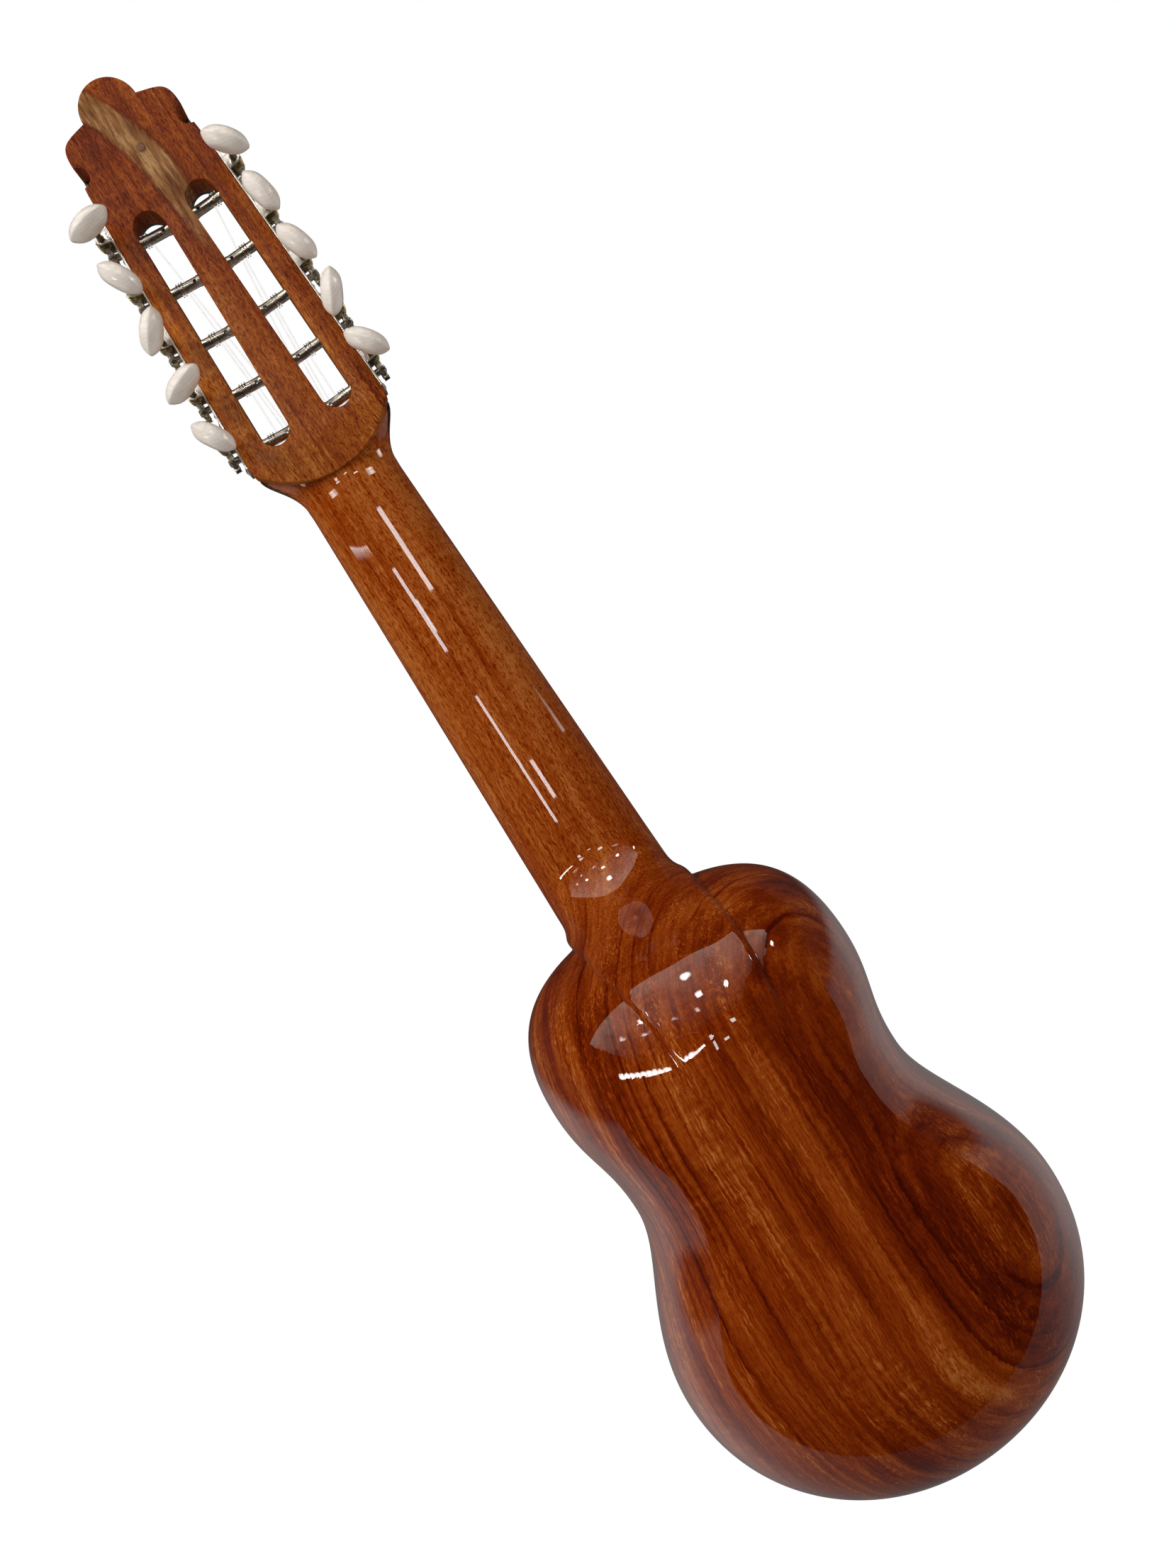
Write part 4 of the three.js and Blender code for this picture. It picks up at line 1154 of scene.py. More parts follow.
@dataclass(frozen=True)
class HeadFrame:
    """Frame of the headstock: x across, s along its back face, f from its back to its front."""

    back: float = 15.5
    thickness: float = 14.0
    veneer: float = 1.7
    half_base: float = 33.8
    base: float = 24.0
    half_top: float = 27.3
    top: float = 157.0
    plate_back: float = 2.0
    plate_width: float = 12.0
    first_roller: float = 36.0
    pitch: float = 24.4
    slot_radius: float = 6.85
    slot_ends: Pair = (30.2, 140.5)
    slot_across: Pair = (15.7, 12.95)

    @property
    def matrix(self) -> Matrix:
        """Matrix from (x, s, f) to the frame."""
        sin, cos = math.sin(HEAD_TILT), math.cos(HEAD_TILT)
        return Matrix(((1, 0, 0, 0), (0, sin, -cos, self.back), (0, cos, sin, 0), (0, 0, 0, 1)))

    @property
    def roller_depth(self) -> float:
        """Depth of the rollers' axes, measured from the back face towards the front."""
        return self.plate_back + self.plate_width / 2

    def half(self, place: float) -> float:
        """Half width of the straight sides at a place along the headstock."""
        return lerp(self.half_base, self.half_top, (place - self.base) / (self.top - self.base))

    def side(self, side: Side) -> Matrix:
        """Matrix of one side: x square to it, its origin on the tuner plate's inner face.

        Args:
            side: The side.

        Returns:
            The matrix.
        """
        slope = math.atan2(self.half_base - self.half_top, self.top - self.base)
        start = Matrix.Translation((side.value * (self.half(0.0) + GAP), 0, 0))
        return self.matrix @ start @ Matrix.Rotation(side.value * slope, 4, "Z")

    def roller_place(self, number: int) -> float:
        """Place of a roller along the side, counted from the nut."""
        return self.first_roller + number * self.pitch

    def slot_inner(self, place: float) -> float:
        """Place across the headstock of a slot's inner wall."""
        low, high = self.slot_ends
        return lerp(*self.slot_across, (place - low) / (high - low)) - self.slot_radius


@dataclass(frozen=True)
class RidgeForm:
    """Low plateau that the heel leaves on the back of the bowl, with a crease at each side."""

    lift: float = 2.5
    half: Pair = (27.5, 21.0)
    narrowing: Pair = (215.0, 70.0)
    end: float = -284.0
    fade: float = 26.0
    round: float = 2.6
    top: float = 86.9

    def cap(self, points: np.ndarray) -> Field:
        """Distance and direction of the plane that keeps the plateau no deeper than the bowl.

        Args:
            points: Array of points.

        Returns:
            The distances and the unit directions.
        """
        way = np.zeros_like(points)
        way[:, 1] = 1.0
        return points[:, 1] - self.top, way

    def height(self, z: np.ndarray) -> np.ndarray:
        """Height over the bowl at heights z."""
        return self.lift * smooth((z - self.end) / self.fade)

    def wall(self, points: np.ndarray, middle: np.ndarray) -> Field:
        """Distance and direction of the plateau's side walls.

        Args:
            points: Array of points.
            middle: Place of the plateau's middle across the instrument at each point.

        Returns:
            The distances and the unit directions.
        """
        start, length = self.narrowing
        half = lerp(*self.half, smooth((-points[:, 2] - start) / length))
        across = points[:, 0] - middle
        way = np.zeros_like(points)
        way[:, 0] = np.sign(across)
        return np.abs(across) - half, way


def joined(first: Field, second: Field, fillet: Number) -> Field:
    """Union of two forms with a fillet between them.

    Args:
        first: Distances and directions of the first form.
        second: Distances and directions of the second form.
        fillet: Width of the fillet.

    Returns:
        Distances and directions of the union.
    """
    share = np.clip(0.5 + 0.5 * (first[0] - second[0]) / fillet, 0.0, 1.0)
    value = lerp(first[0], second[0], share) - fillet * share * (1 - share)
    way = first[1] * (1 - share)[:, None] + second[1] * share[:, None]
    return value, way / np.maximum(np.linalg.norm(way, axis=1), 1e-6)[:, None]


def shared(first: Field, second: Field, fillet: float) -> Field:
    """What two forms share, with its edge rounded by a fillet."""
    value, way = joined((-first[0], -first[1]), (-second[0], -second[1]), fillet)
    return -value, -way


def gradient(gauge: Callable[[np.ndarray], np.ndarray], points: np.ndarray) -> Field:
    """Distance and outward direction that a gauge gives.

    Args:
        gauge: Function that is 0 on a surface.
        points: Array of points.

    Returns:
        The distances and the unit directions.
    """
    step = 0.02
    value = gauge(points)
    slope = np.column_stack([(gauge(points + step * axis) - value) / step for axis in np.eye(3)])
    size = np.maximum(np.linalg.norm(slope, axis=1), 1e-6)
    return value / size, slope / size[:, None]


def read(items: bpy.types.bpy_prop_collection, key: str, width: int = 3, kind: type = float) -> np.ndarray:
    """Numbers that the items of a mesh hold.

    Args:
        items: Vertices, corners or faces.
        key: Name of what they hold.
        width: How many numbers each holds.
        kind: Kind of number.

    Returns:
        An array with a row for each item.
    """
    numbers = np.empty(len(items) * width, dtype=kind)
    items.foreach_get(key, numbers)
    return numbers.reshape(-1, width)


@dataclass
class CarvedBody:
    """Bowl, heel and neck, carved from one block and hollowed from the front."""

    bowl: BowlForm = field(default_factory=BowlForm)
    neck: NeckForm = field(default_factory=NeckForm)
    ridge: RidgeForm = field(default_factory=RidgeForm)
    head: HeadFrame = field(default_factory=HeadFrame)
    side_wall: float = 5.5
    back_wall: float = 6.0
    block: float = 24.0
    hollow_front: float = -2.0
    voxel: float = 1.3
    crease_fillet: float = 0.7
    heel_fillet: float = 9.0
    crease_reach: float = 3.2
    rounds: int = 4
    neck_end: float = 25.0
    heel_end: float = -290.0
    heel_sink: float = 0.6
    head_from: float = 4.5
    head_clear: Pair = (2.0, 5.0)

    def dome_blank(self, form: BowlForm, front: float) -> Shape:
        """Closed dome drawn from a sphere.

        Args:
            form: The dome's form.
            front: Height of its flat front.

        Returns:
            The shape.
        """
        shape = bmesh.new()
        bmesh.ops.create_uvsphere(shape, u_segments=112, v_segments=48, radius=1.0)
        for vertex in shape.verts:
            x, y, z = vertex.co
            lift = math.asin(max(-1.0, min(1.0, z)))
            vertex.co = form.place(math.atan2(abs(x), y) / math.pi, lift, 1.0 if x >= 0 else -1.0)
            if z < -0.01:
                vertex.co.y = front
        bmesh.ops.recalc_face_normals(shape, faces=shape.faces)
        return shape

    def neck_blank(self) -> Shape:
        """Closed neck drawn from a ring that is extruded along the instrument."""
        heights = np.concatenate([
            np.linspace(self.neck_end, 0.0, 10), np.linspace(-12.0, -176.0, 12),
            np.linspace(-188.0, -300.0, 34),
        ])
        shape = bmesh.new()
        ring = bmesh.ops.create_circle(shape, cap_ends=False, segments=64, radius=1.0)["verts"]
        turns = [math.atan2(vertex.co.y, vertex.co.x) for vertex in ring]
        edges = list(shape.edges)
        shape.faces.new(ring)
        for row, height in enumerate(heights):
            if row > 0:
                grown = bmesh.ops.extrude_edge_only(shape, edges=edges)
                ring, edges = picked(grown, bmesh.types.BMVert), picked(grown, bmesh.types.BMEdge)
                turns = [self.neck.turn(vertex.co) for vertex in ring]
            for vertex, turn in zip(ring, turns):
                vertex.co = self.neck.place(turn, float(height))
        bmesh.ops.contextual_create(shape, geom=edges)
        bmesh.ops.recalc_face_normals(shape, faces=shape.faces)
        return shape

    def surface(self, points: np.ndarray) -> Field:
        """Distance and direction of the bowl, the neck and the heel's ridge with their fillets.

        Args:
            points: Array of points.

        Returns:
            The distances and the unit directions.
        """
        bowl, bowl_way = gradient(self.bowl.gauge, points)
        neck, neck_way = gradient(self.neck.gauge, points)
        neck = neck + np.maximum(self.heel_end - points[:, 2], 0.0) * self.heel_sink
        wall = self.ridge.wall(points, self.neck.middle(points[:, 2]))
        raised = (bowl - self.ridge.height(points[:, 2]), bowl_way)
        plateau = shared(raised, wall, self.ridge.round)
        heel = joined((neck, neck_way), plateau, self.heel_fillet)
        heel = shared(heel, self.ridge.cap(points), self.ridge.round)
        bend = 1.0 - np.einsum("ij,ij->i", bowl_way, heel[1])
        fillet = self.crease_fillet * np.clip(bend * 6.0, 0.01, 1.0)
        return joined(heel, (bowl, bowl_way), fillet)

    def front(self, points: np.ndarray) -> np.ndarray:
        """Front plane of the block at each point: rim, neck or the headstock's front.

        Args:
            points: Array of points.

        Returns:
            The plane's place along Y at each point.
        """
        x, z = points[:, 0], points[:, 2]
        sin, cos = math.sin(HEAD_TILT), math.cos(HEAD_TILT)
        along = (z - self.head.thickness * sin) / cos
        head_plane = self.head.back + along * sin - self.head.thickness * cos
        radius = self.neck.arc_radius
        foot = self.neck.arc_foot + radius - np.sqrt(np.maximum(radius**2 - x**2, 0.0))
        clear, drop = self.head_clear
        head_plane = head_plane + np.where(along > foot + clear, drop, 0.0)
        front = np.where(z > self.head_from, head_plane, self.neck.top)
        return np.where(z < self.bowl.top, self.bowl.rim, front)

    def refine(self, mesh: bpy.types.Mesh) -> None:
        """Divides the skin finely where the heel meets the bowl, so that the creases are crisp.

        Args:
            mesh: The skin.
        """
        points = read(mesh.vertices, "co")
        bowl, _ = gradient(self.bowl.gauge, points)
        wall, _ = self.ridge.wall(points, self.neck.middle(points[:, 2]))
        near = (np.abs(wall) < self.crease_reach) & (np.abs(bowl) < self.crease_reach + self.ridge.lift)
        near &= (points[:, 2] > self.ridge.end) & (points[:, 2] < self.bowl.top + 4.0)
        near &= points[:, 1] > self.bowl.rim + 2.0
        shape = bmesh.new()
        shape.from_mesh(mesh)
        edges = [edge for edge in shape.edges if all(near[vertex.index] for vertex in edge.verts)]
        bmesh.ops.subdivide_edges(shape, edges=edges, cuts=2, use_grid_fill=True)
        shape.to_mesh(mesh)
        shape.free()

    def carve(self, mesh: bpy.types.Mesh) -> None:
        """Draws the blank's vertices onto the true surface and the front planes.

        Args:
            mesh: The skin.
        """
        points = read(mesh.vertices, "co")
        flat = points[:, 1] < self.front(points) + 0.55 * self.voxel
        for _ in range(self.rounds):
            value, way = self.surface(points)
            near = (np.abs(value) < 4.0) & (points[:, 2] < self.neck_end - 0.6)
            move = np.where(near, value, 0.0)[:, None] * way
            move[flat, 1] = 0.0
            points -= move
            points[flat, 1] = self.front(points)[flat]
        mesh.vertices.foreach_set("co", points.ravel())
        mesh.update()

    def blank(self) -> Piece:
        """Even skin over the dome and the neck, in millimetres."""
        shape = bmesh.new()
        for part in (self.dome_blank(self.bowl, self.bowl.rim - 0.2), self.neck_blank()):
            mesh = meshed("part", part)
            shape.from_mesh(mesh)
            bpy.data.meshes.remove(mesh)
        piece = linked("bowl_and_neck", meshed("blank", shape))
        change = piece.modifiers.new("skin", "REMESH")
        change.mode = "VOXEL"
        change.voxel_size = self.voxel
        change.use_smooth_shade = True
        return settle(piece)

    def hollow(self) -> Shape:
        """Shape of the hollow, which opens through the front."""
        form = BowlForm(
            top=self.bowl.top - self.block, depth=self.bowl.depth - self.back_wall, inset=self.side_wall,
        )
        shape = self.dome_blank(form, self.hollow_front)
        for vertex in shape.verts:
            if abs(vertex.co.y - form.rim) < 0.05:
                vertex.co.y = self.hollow_front
        bmesh.ops.recalc_face_normals(shape, faces=shape.faces)
        return shape

    def build(self, outside: Material, inside: Material) -> Piece:
        """Makes the carved piece.

        Args:
            outside: The varnished wood.
            inside: The bare wood of the hollow.

        Returns:
            The piece.
        """
        piece = self.blank()
        self.carve(piece.data)
        self.refine(piece.data)
        self.carve(piece.data)
        cutter = linked("hollow", meshed("hollow", self.hollow()))
        for item in (piece, cutter):
            item.data.materials.append(outside)
            item.data.materials.append(inside)
        for face in cutter.data.polygons:
            face.material_index = 1
        cut(piece, cutter)
        self.dress(piece)
        piece.data.transform(Matrix.Scale(MM, 4))
        return piece

    def dress(self, piece: Piece) -> None:
        """Gives the outside the true surface's normals, so that the varnish shines evenly.

        Args:
            piece: The carved piece.
        """
        mesh = shade(piece, 35.0).data
        value, way = self.surface(read(mesh.vertices, "co"))
        corners = read(mesh.loops, "vertex_index", 1, np.int32)[:, 0]
        normals = read(mesh.corner_normals, "vector")
        counts = read(mesh.polygons, "loop_total", 1, np.int32)[:, 0]
        owner = np.repeat(read(mesh.polygons, "normal"), counts, axis=0)
        use = np.einsum("ij,ij->i", owner, way[corners]) > 0.8
        use &= np.abs(value[corners]) < 0.08
        normals[use] = way[corners][use]
        mesh.normals_split_custom_set([tuple(normal) for normal in normals])


# Headstock


@dataclass
class Headstock:
    """Slotted head with its crown, dark front veneer and round plug."""

    frame: HeadFrame = field(default_factory=HeadFrame)
    neck: NeckForm = field(default_factory=NeckForm)
    notch: Pair = (26.4, 165.0)
    notch_radius: float = 4.3
    shoulder: Pair = (26.4, 169.5)
    lobe: Pair = (12.8, 182.5)
    reach: float = 0.8
    nut_length: float = 4.7
    ramp_foot: float = 11.0
    ramp_lift: float = 0.2
    ramp_depth: float = 9.0
    plug_radius: float = 2.1
    plug_place: Point = (-2.3, 162.6, 0.0)

    @property
    def front(self) -> float:
        """Place of the veneer's front face."""
        return self.frame.thickness + GAP + self.frame.veneer

    def crown(self) -> np.ndarray:
        """Right half of the crown from the end of the straight side to the tip."""
        start, foot = np.array(self.shoulder), np.array(self.lobe)
        leaving = (start[0], lerp(start[1], foot[1], self.reach))
        arriving = (lerp(foot[0], start[0], self.reach), lerp(start[1], foot[1], self.reach))
        curve = bezier((start, leaving, arriving, foot), 14)
        lobe = arc((0.0, foot[1]), foot[0], 0.0, QUARTER, 25)[1:]
        lobe[-1, 0] = 0.0
        return np.vstack([[(self.frame.half_top, self.frame.top)], curve, lobe])

    def back_crown(self) -> np.ndarray:
        """Right half of the crown with the round notch that only the block has."""
        bite = arc(self.notch, self.notch_radius, -0.62 * math.pi, -1.38 * math.pi, 15)
        outer, top = self.frame.half_top, self.frame.top
        low = [(outer, top), (outer - 0.4, self.notch[1] - self.notch_radius - 0.2)]
        return np.vstack([low, bite, self.crown()[1:]])

    def slot(self, side: Side) -> np.ndarray:
        """Outline of the round-ended slot on one side.

        Args:
            side: The side.

        Returns:
            The points (x, s).
        """
        radius = self.frame.slot_radius
        low = np.array((self.frame.slot_across[0], self.frame.slot_ends[0] + radius))
        high = np.array((self.frame.slot_across[1], self.frame.slot_ends[1] - radius))
        lean = math.atan2(high[1] - low[1], high[0] - low[0])
        rounds = [
            arc(centre, radius, start, start + math.pi, 21)
            for centre, start in ((high, lean - QUARTER), (low, lean + QUARTER))
        ]
        return np.vstack(rounds) * (side.value, 1.0)

    def ramp(self, side: Side) -> Piece:
        """Wedge that lets the strings dip from the nut into a slot.

        Args:
            side: The side.

        Returns:
            The wedge.
        """
        across, foot = self.frame.slot_across[0], self.frame.slot_ends[0] + self.frame.slot_radius
        profile = (
            (self.ramp_foot, self.front + self.ramp_lift), (self.ramp_foot, self.front + 3.0),
            (foot, self.front + 3.0), (foot, self.front - self.ramp_depth),
        )
        half = self.frame.slot_radius - 1.0
        turned = self.frame.matrix @ Matrix(((0, 0, 1, 0), (1, 0, 0, 0), (0, 1, 0, 0), (0, 0, 0, 1)))
        place = Matrix.Translation((side.value * across, 0, 0)) @ turned
        return finished("ramp", prism(profile, -half, half), place)

    def slotted(
        self, name: str, half: np.ndarray, thickness: float, edge: float, place: Matrix, finish: Material
    ) -> Piece:
        """Flat part of the head with its slots and the ramps that lead into them.

        Args:
            name: Name of the piece.
            half: Right half of its outline.
            thickness: Its thickness.
            edge: Width of its eased edge.
            place: Matrix from (x, s, f) to the frame.
            finish: The piece's material.

        Returns:
            The piece.
        """
        outlines = [mirrored(half), *(self.slot(side) for side in Side)]
        piece = flat_piece(name, outlines, thickness, edge, place, finish)
        for side in Side:
            cut(piece, self.ramp(side))
        return shade(piece, 30.0)

    def block(self, finish: Material) -> Piece:
        """Wooden block of the headstock, whose foot is the arc that the neck's back ends in.

        Args:
            finish: The piece's material.

        Returns:
            The piece.
        """
        radius = self.neck.arc_radius
        sweep = math.asin(self.frame.half(self.frame.base) / radius)
        foot = arc((0.0, self.neck.arc_foot + radius), radius, -QUARTER, sweep - QUARTER, 25)
        half = np.vstack([foot, self.back_crown()])
        return self.slotted("headstock_block", half, self.frame.thickness, 0.45, self.frame.matrix, finish)

    def plate(self, finish: Material) -> Piece:
        """Dark veneer on the front.

        Args:
            finish: The piece's material.

        Returns:
            The piece.
        """
        sin, cos = math.sin(HEAD_TILT), math.cos(HEAD_TILT)
        foot = (self.nut_length + GAP - self.front * sin) / cos
        places = np.linspace(foot, self.frame.base, 12)
        flare = np.minimum(self.neck.half(places * cos + self.front * sin), self.frame.half(places)) - GAP
        half = np.vstack([[(0.0, foot)], np.column_stack([flare, places]), self.crown()])
        place = self.frame.matrix @ Matrix.Translation((0, 0, self.frame.thickness))
        return self.slotted("front_veneer", half, self.frame.veneer + GAP, 0.25, place, finish)

    def plug(self, finish: Material) -> Piece:
        """Round plug in the back, set a hair below the face.

        Args:
            finish: The piece's material.

        Returns:
            The piece.
        """
        place = self.frame.matrix @ Matrix.Translation(self.plug_place) @ Matrix.Rotation(QUARTER, 4, "X")
        radius = self.plug_radius
        profile = (
            (0.0, -0.06), (radius - 0.5, -0.06), (radius - 0.35, 0.02), (radius, -0.02), (radius, 3.0),
            (0.0, 3.0),
        )
        return lathe("plug", profile, 32, place, finish)


# Tuning machines


@dataclass
class TunerSide:
    """Five tuning machines on one nickel plate, with the turns of their buttons in degrees."""

    side: Side
    turns: tuple[float, ...]
    head: HeadFrame = field(default_factory=HeadFrame)
    plate_ends: Pair = (26.5, 155.0)
    plate_thickness: float = 1.0
    plate_corner: float = 3.0
    end_screws: Pair = (3.2, 3.4)
    screw_offset: float = 15.8
    screw_profile: Profile = (
        (0.0, 0.95), (0.7, 0.88), (1.3, 0.66), (1.75, 0.3), (1.9, 0.0), (1.9, -0.2), (0.0, -0.2),
    )
    mark_offset: float = 19.3
    mark_spread: float = 4.2
    mark_profile: Profile = ((0.0, 0.5), (0.5, 0.42), (0.9, 0.2), (1.1, -0.1), (0.0, -0.1))
    ear_half: float = 2.5
    ear_hole: float = 1.5
    ear_thickness: float = 1.0
    worm_reach: float = 3.5
    worm_pitch: float = 2.4
    worm_root: float = 1.8
    worm_tip: float = 3.15
    worm_turns: float = 3.5
    worm_steps: int = 24
    gear_teeth: int = 12
    gear_width: float = 2.4
    gear_radius: float = 4.584
    tooth: Profile = (
        (0.0, -0.9), (0.22, -0.85), (0.36, 0.15), (0.43, 0.46), (0.5, 0.5), (0.57, 0.46), (0.64, 0.15),
        (0.78, -0.85),
    )
    gear_screw_profile: Profile = ((0.0, 0.8), (1.2, 0.78), (1.6, 0.55), (1.6, -0.1), (0.0, -0.1))
    worm_offset: float = 7.334
    roller_radius: float = 2.5
    roller_blind: float = 3.5
    neck_radius: float = 1.6
    shaft_radius: float = 1.3
    button: Point = (20.0, 13.0, 9.0)
    button_stand: float = 8.0

    @property
    def worm_across(self) -> float:
        """How far the worms stand off the plate's inner face."""
        return self.plate_thickness + self.worm_reach

    def reach(self, number: int) -> float:
        """How far a roller reaches from the plate through the rail and slot into the rib."""
        place = self.head.roller_place(number)
        return self.head.half(place) - self.head.slot_inner(place) + GAP

    def name(self, kind: str, number: int) -> str:
        """Name of what belongs to one machine, counted from the nut."""
        return f"{kind}_{self.side.label}_{number + 1}"

    def outward(self, across: float, along: float, deep: float) -> Matrix:
        """Matrix of something turned whose axis Y points outwards."""
        place = Matrix.Translation((self.side.value * across, along, deep))
        return self.head.side(self.side) @ place @ Matrix.Rotation(-self.side.value * QUARTER, 4, "Z")

    def post(self, number: int, across: float = 0.0) -> Matrix:
        """Matrix of a roller, or of what sits on its axis further out."""
        return self.outward(across, self.head.roller_place(number), self.head.roller_depth)

    def spindle(self, number: int) -> Matrix:
        """Matrix of a worm, whose axis Y points to the front.

        Args:
            number: The machine.

        Returns:
            The matrix.
        """
        along = self.head.roller_place(number) + self.worm_offset
        place = Matrix.Translation((self.side.value * self.worm_across, along, self.head.roller_depth))
        return self.head.side(self.side) @ place @ Matrix.Rotation(QUARTER, 4, "X")

    def plate(self, finish: Material) -> Piece:
        """Strip with its ears, screws and the raised marks between the machines.

        Args:
            finish: The plate's material.

        Returns:
            The piece.
        """
        side, deep = self.side.value, self.head.roller_depth
        back, front = self.head.plate_back, self.head.plate_back + self.head.plate_width
        left, right = sorted((-side * back, -side * front))
        (low, high), corner = self.plate_ends, self.plate_corner
        outline = np.array([
            (left, low + corner), (left + corner, low), (right - corner, low), (right, low + corner),
            (right, high - corner), (right - corner, high), (left + corner, high), (left, high - corner),
        ])
        turned = Matrix(((0, 0, side, 0), (0, 1, 0, 0), (-side, 0, 0, 0), (0, 0, 0, 1)))
        place = self.head.side(self.side) @ turned
        pieces = [flat_piece("strip", [outline], self.plate_thickness, 0.2, place, finish)]
        for number in range(5):
            pieces += self.ears(number, finish)
        between = [self.head.roller_place(number) for number in range(4)]
        ends = low + self.end_screws[0], high - self.end_screws[1]
        for along in (ends[0], *(start + self.screw_offset for start in between), ends[1]):
            place = self.outward(self.plate_thickness, along, deep)
            pieces.append(self.screw("screw", self.screw_profile, 20, 0.22, 0.6 + along, place, finish))
        for start in between:
            for shift in (-self.mark_spread, self.mark_spread):
                place = self.outward(self.plate_thickness, start + self.mark_offset, deep + shift)
                pieces.append(lathe("mark", self.mark_profile, 12, place, finish))
        return merged(f"tuner_plate_{self.side.label}_dressed", pieces)

    def ears(self, number: int, finish: Material) -> list[Piece]:
        """Two ears that carry one worm, with round bearing holes.

        Args:
            number: The machine.
            finish: The plate's material.

        Returns:
            The two ears.
        """
        along = self.head.roller_place(number) + self.worm_offset
        centre, foot = (self.worm_across, along), self.ear_half + 0.5
        tip = arc(centre, self.ear_half, -QUARTER, QUARTER, 17)
        outline = np.vstack([[(0.4, along - foot)], tip, [(0.4, along + foot)]])
        outlines = [line * (self.side.value, 1.0) for line in (outline, circle(centre, self.ear_hole, 24))]
        found = []
        for way in (-1, 1):
            middle = self.head.roller_depth + way * (self.head.plate_width - self.ear_thickness) / 2
            shift = Matrix.Translation((0, 0, middle - self.ear_thickness / 2))
            place = self.head.side(self.side) @ shift
            found.append(flat_piece("ear", outlines, self.ear_thickness, 0.15, place, finish))
        return found

    def screw(
        self, name: str, profile: Profile, steps: int, half: float, turn: float, place: Matrix,
        finish: Material,
    ) -> Piece:
        """Round-headed screw with a slot.

        Args:
            name: Name of the piece.
            profile: Profile of its head.
            steps: Steps round its axis.
            half: Half width of the slot.
            turn: Turn of the slot.
            place: Matrix from its axis Y to the frame.
            finish: The piece's material.

        Returns:
            The piece.
        """
        section = ((-3, 0.45), (3, 0.45), (3, 2), (-3, 2))
        groove = bar("groove", section, half, 0.02, place @ Matrix.Rotation(turn, 4, "Y"), finish, 1)
        return cut(lathe(name, profile, steps, place, finish), groove)

    def roller(self, number: int, finish: Material) -> Piece:
        """Roller with its neck and the hole for its string.

        Args:
            number: The machine.
            finish: The piece's material.

        Returns:
            The piece.
        """
        inner = self.reach(number) + self.roller_blind
        outer = self.worm_across - self.gear_width / 2
        wall = GAP - self.reach(number)
        low, high = wall + 0.6, wall + 2 * self.head.slot_radius - 0.6
        radius, neck, place = self.roller_radius, self.neck_radius, self.post(number)
        profile = (
            (0.0, -inner), (radius, -inner), (radius, low), (radius - 0.18, low + 0.3),
            (radius - 0.18, high - 0.3), (radius, high), (radius, -GAP), (neck, -GAP), (neck, outer),
            (0.0, outer),
        )
        piece = lathe(self.name("roller", number) + "_dressed", profile, 32, place, finish)
        hole = place @ Matrix.Translation((0, wall + 2.2, 0)) @ Matrix.Rotation(QUARTER, 4, "X")
        drill = lathe("drill", ((0.0, -5.0), (0.8, -5.0), (0.8, 5.0), (0.0, 5.0)), 20, hole, finish)
        return shade(cut(piece, drill), 32.0)

    def gear(self, number: int, finish: Material) -> Piece:
        """Wheel of twelve teeth with its slotted screw.

        Args:
            number: The machine.
            finish: The piece's material.

        Returns:
            The piece.
        """
        outline = []
        for tooth in range(self.gear_teeth):
            for share, height in self.tooth:
                turn = (tooth + share - 0.5) / self.gear_teeth * 2 * math.pi
                reach = self.gear_radius + height
                outline.append((reach * math.cos(turn), reach * math.sin(turn)))
        outer = self.post(number, self.worm_across + self.gear_width / 2)
        place = outer @ Matrix.Rotation(QUARTER, 4, "X")
        wheel = flat_piece("wheel", [np.array(outline)], self.gear_width, 0.12, place, finish)
        screw = self.screw("gear_screw", self.gear_screw_profile, 24, 0.2, 0.5 + number, outer, finish)
        return merged(self.name("gear", number), [wheel, screw])

    def worm(self, number: int, finish: Material) -> Piece:
        """Thread wound round a core, with the shaft to the button.

        Args:
            number: The machine.
            finish: The piece's material.

        Returns:
            The piece.
        """
        half = self.worm_turns / 2 * self.worm_pitch
        root, tip = self.worm_root - 0.25, self.worm_tip
        section = (
            (root, -0.62), (tip - 0.15, -0.26), (tip, -0.1), (tip, 0.1), (tip - 0.15, 0.26), (root, 0.62),
        )
        shape = bmesh.new()
        corners = [shape.verts.new((radius, height - half, 0.0)) for radius, height in section]
        ring = [shape.edges.new(pair) for pair in zip(corners, corners[1:] + corners[:1])]
        bmesh.ops.spin(
            shape, geom=corners + ring, cent=(0, 0, 0), axis=(0, -1, 0),
            dvec=(0, self.worm_pitch / self.worm_steps, 0), angle=2 * math.pi * self.worm_turns,
            steps=int(self.worm_turns * self.worm_steps), use_merge=False, use_duplicate=False,
        )
        bmesh.ops.holes_fill(shape, edges=shape.edges, sides=6)
        thread = shade(finished("thread", shape, self.spindle(number), finish), 50.0)
        back = -(self.head.roller_depth + self.button_stand + 6.0)
        front = self.head.plate_width / 2 + 1.2
        end, core, thin = half + 0.7, self.worm_root, self.shaft_radius
        profile = (
            (0.0, back), (thin, back), (thin, -end), (core, 0.1 - end), (core, end - 0.1), (thin, end),
            (thin, front), (0.0, front),
        )
        shaft = lathe("shaft", profile, 24, self.spindle(number), finish)
        return merged(self.name("worm", number) + "_dressed", [thread, shaft])

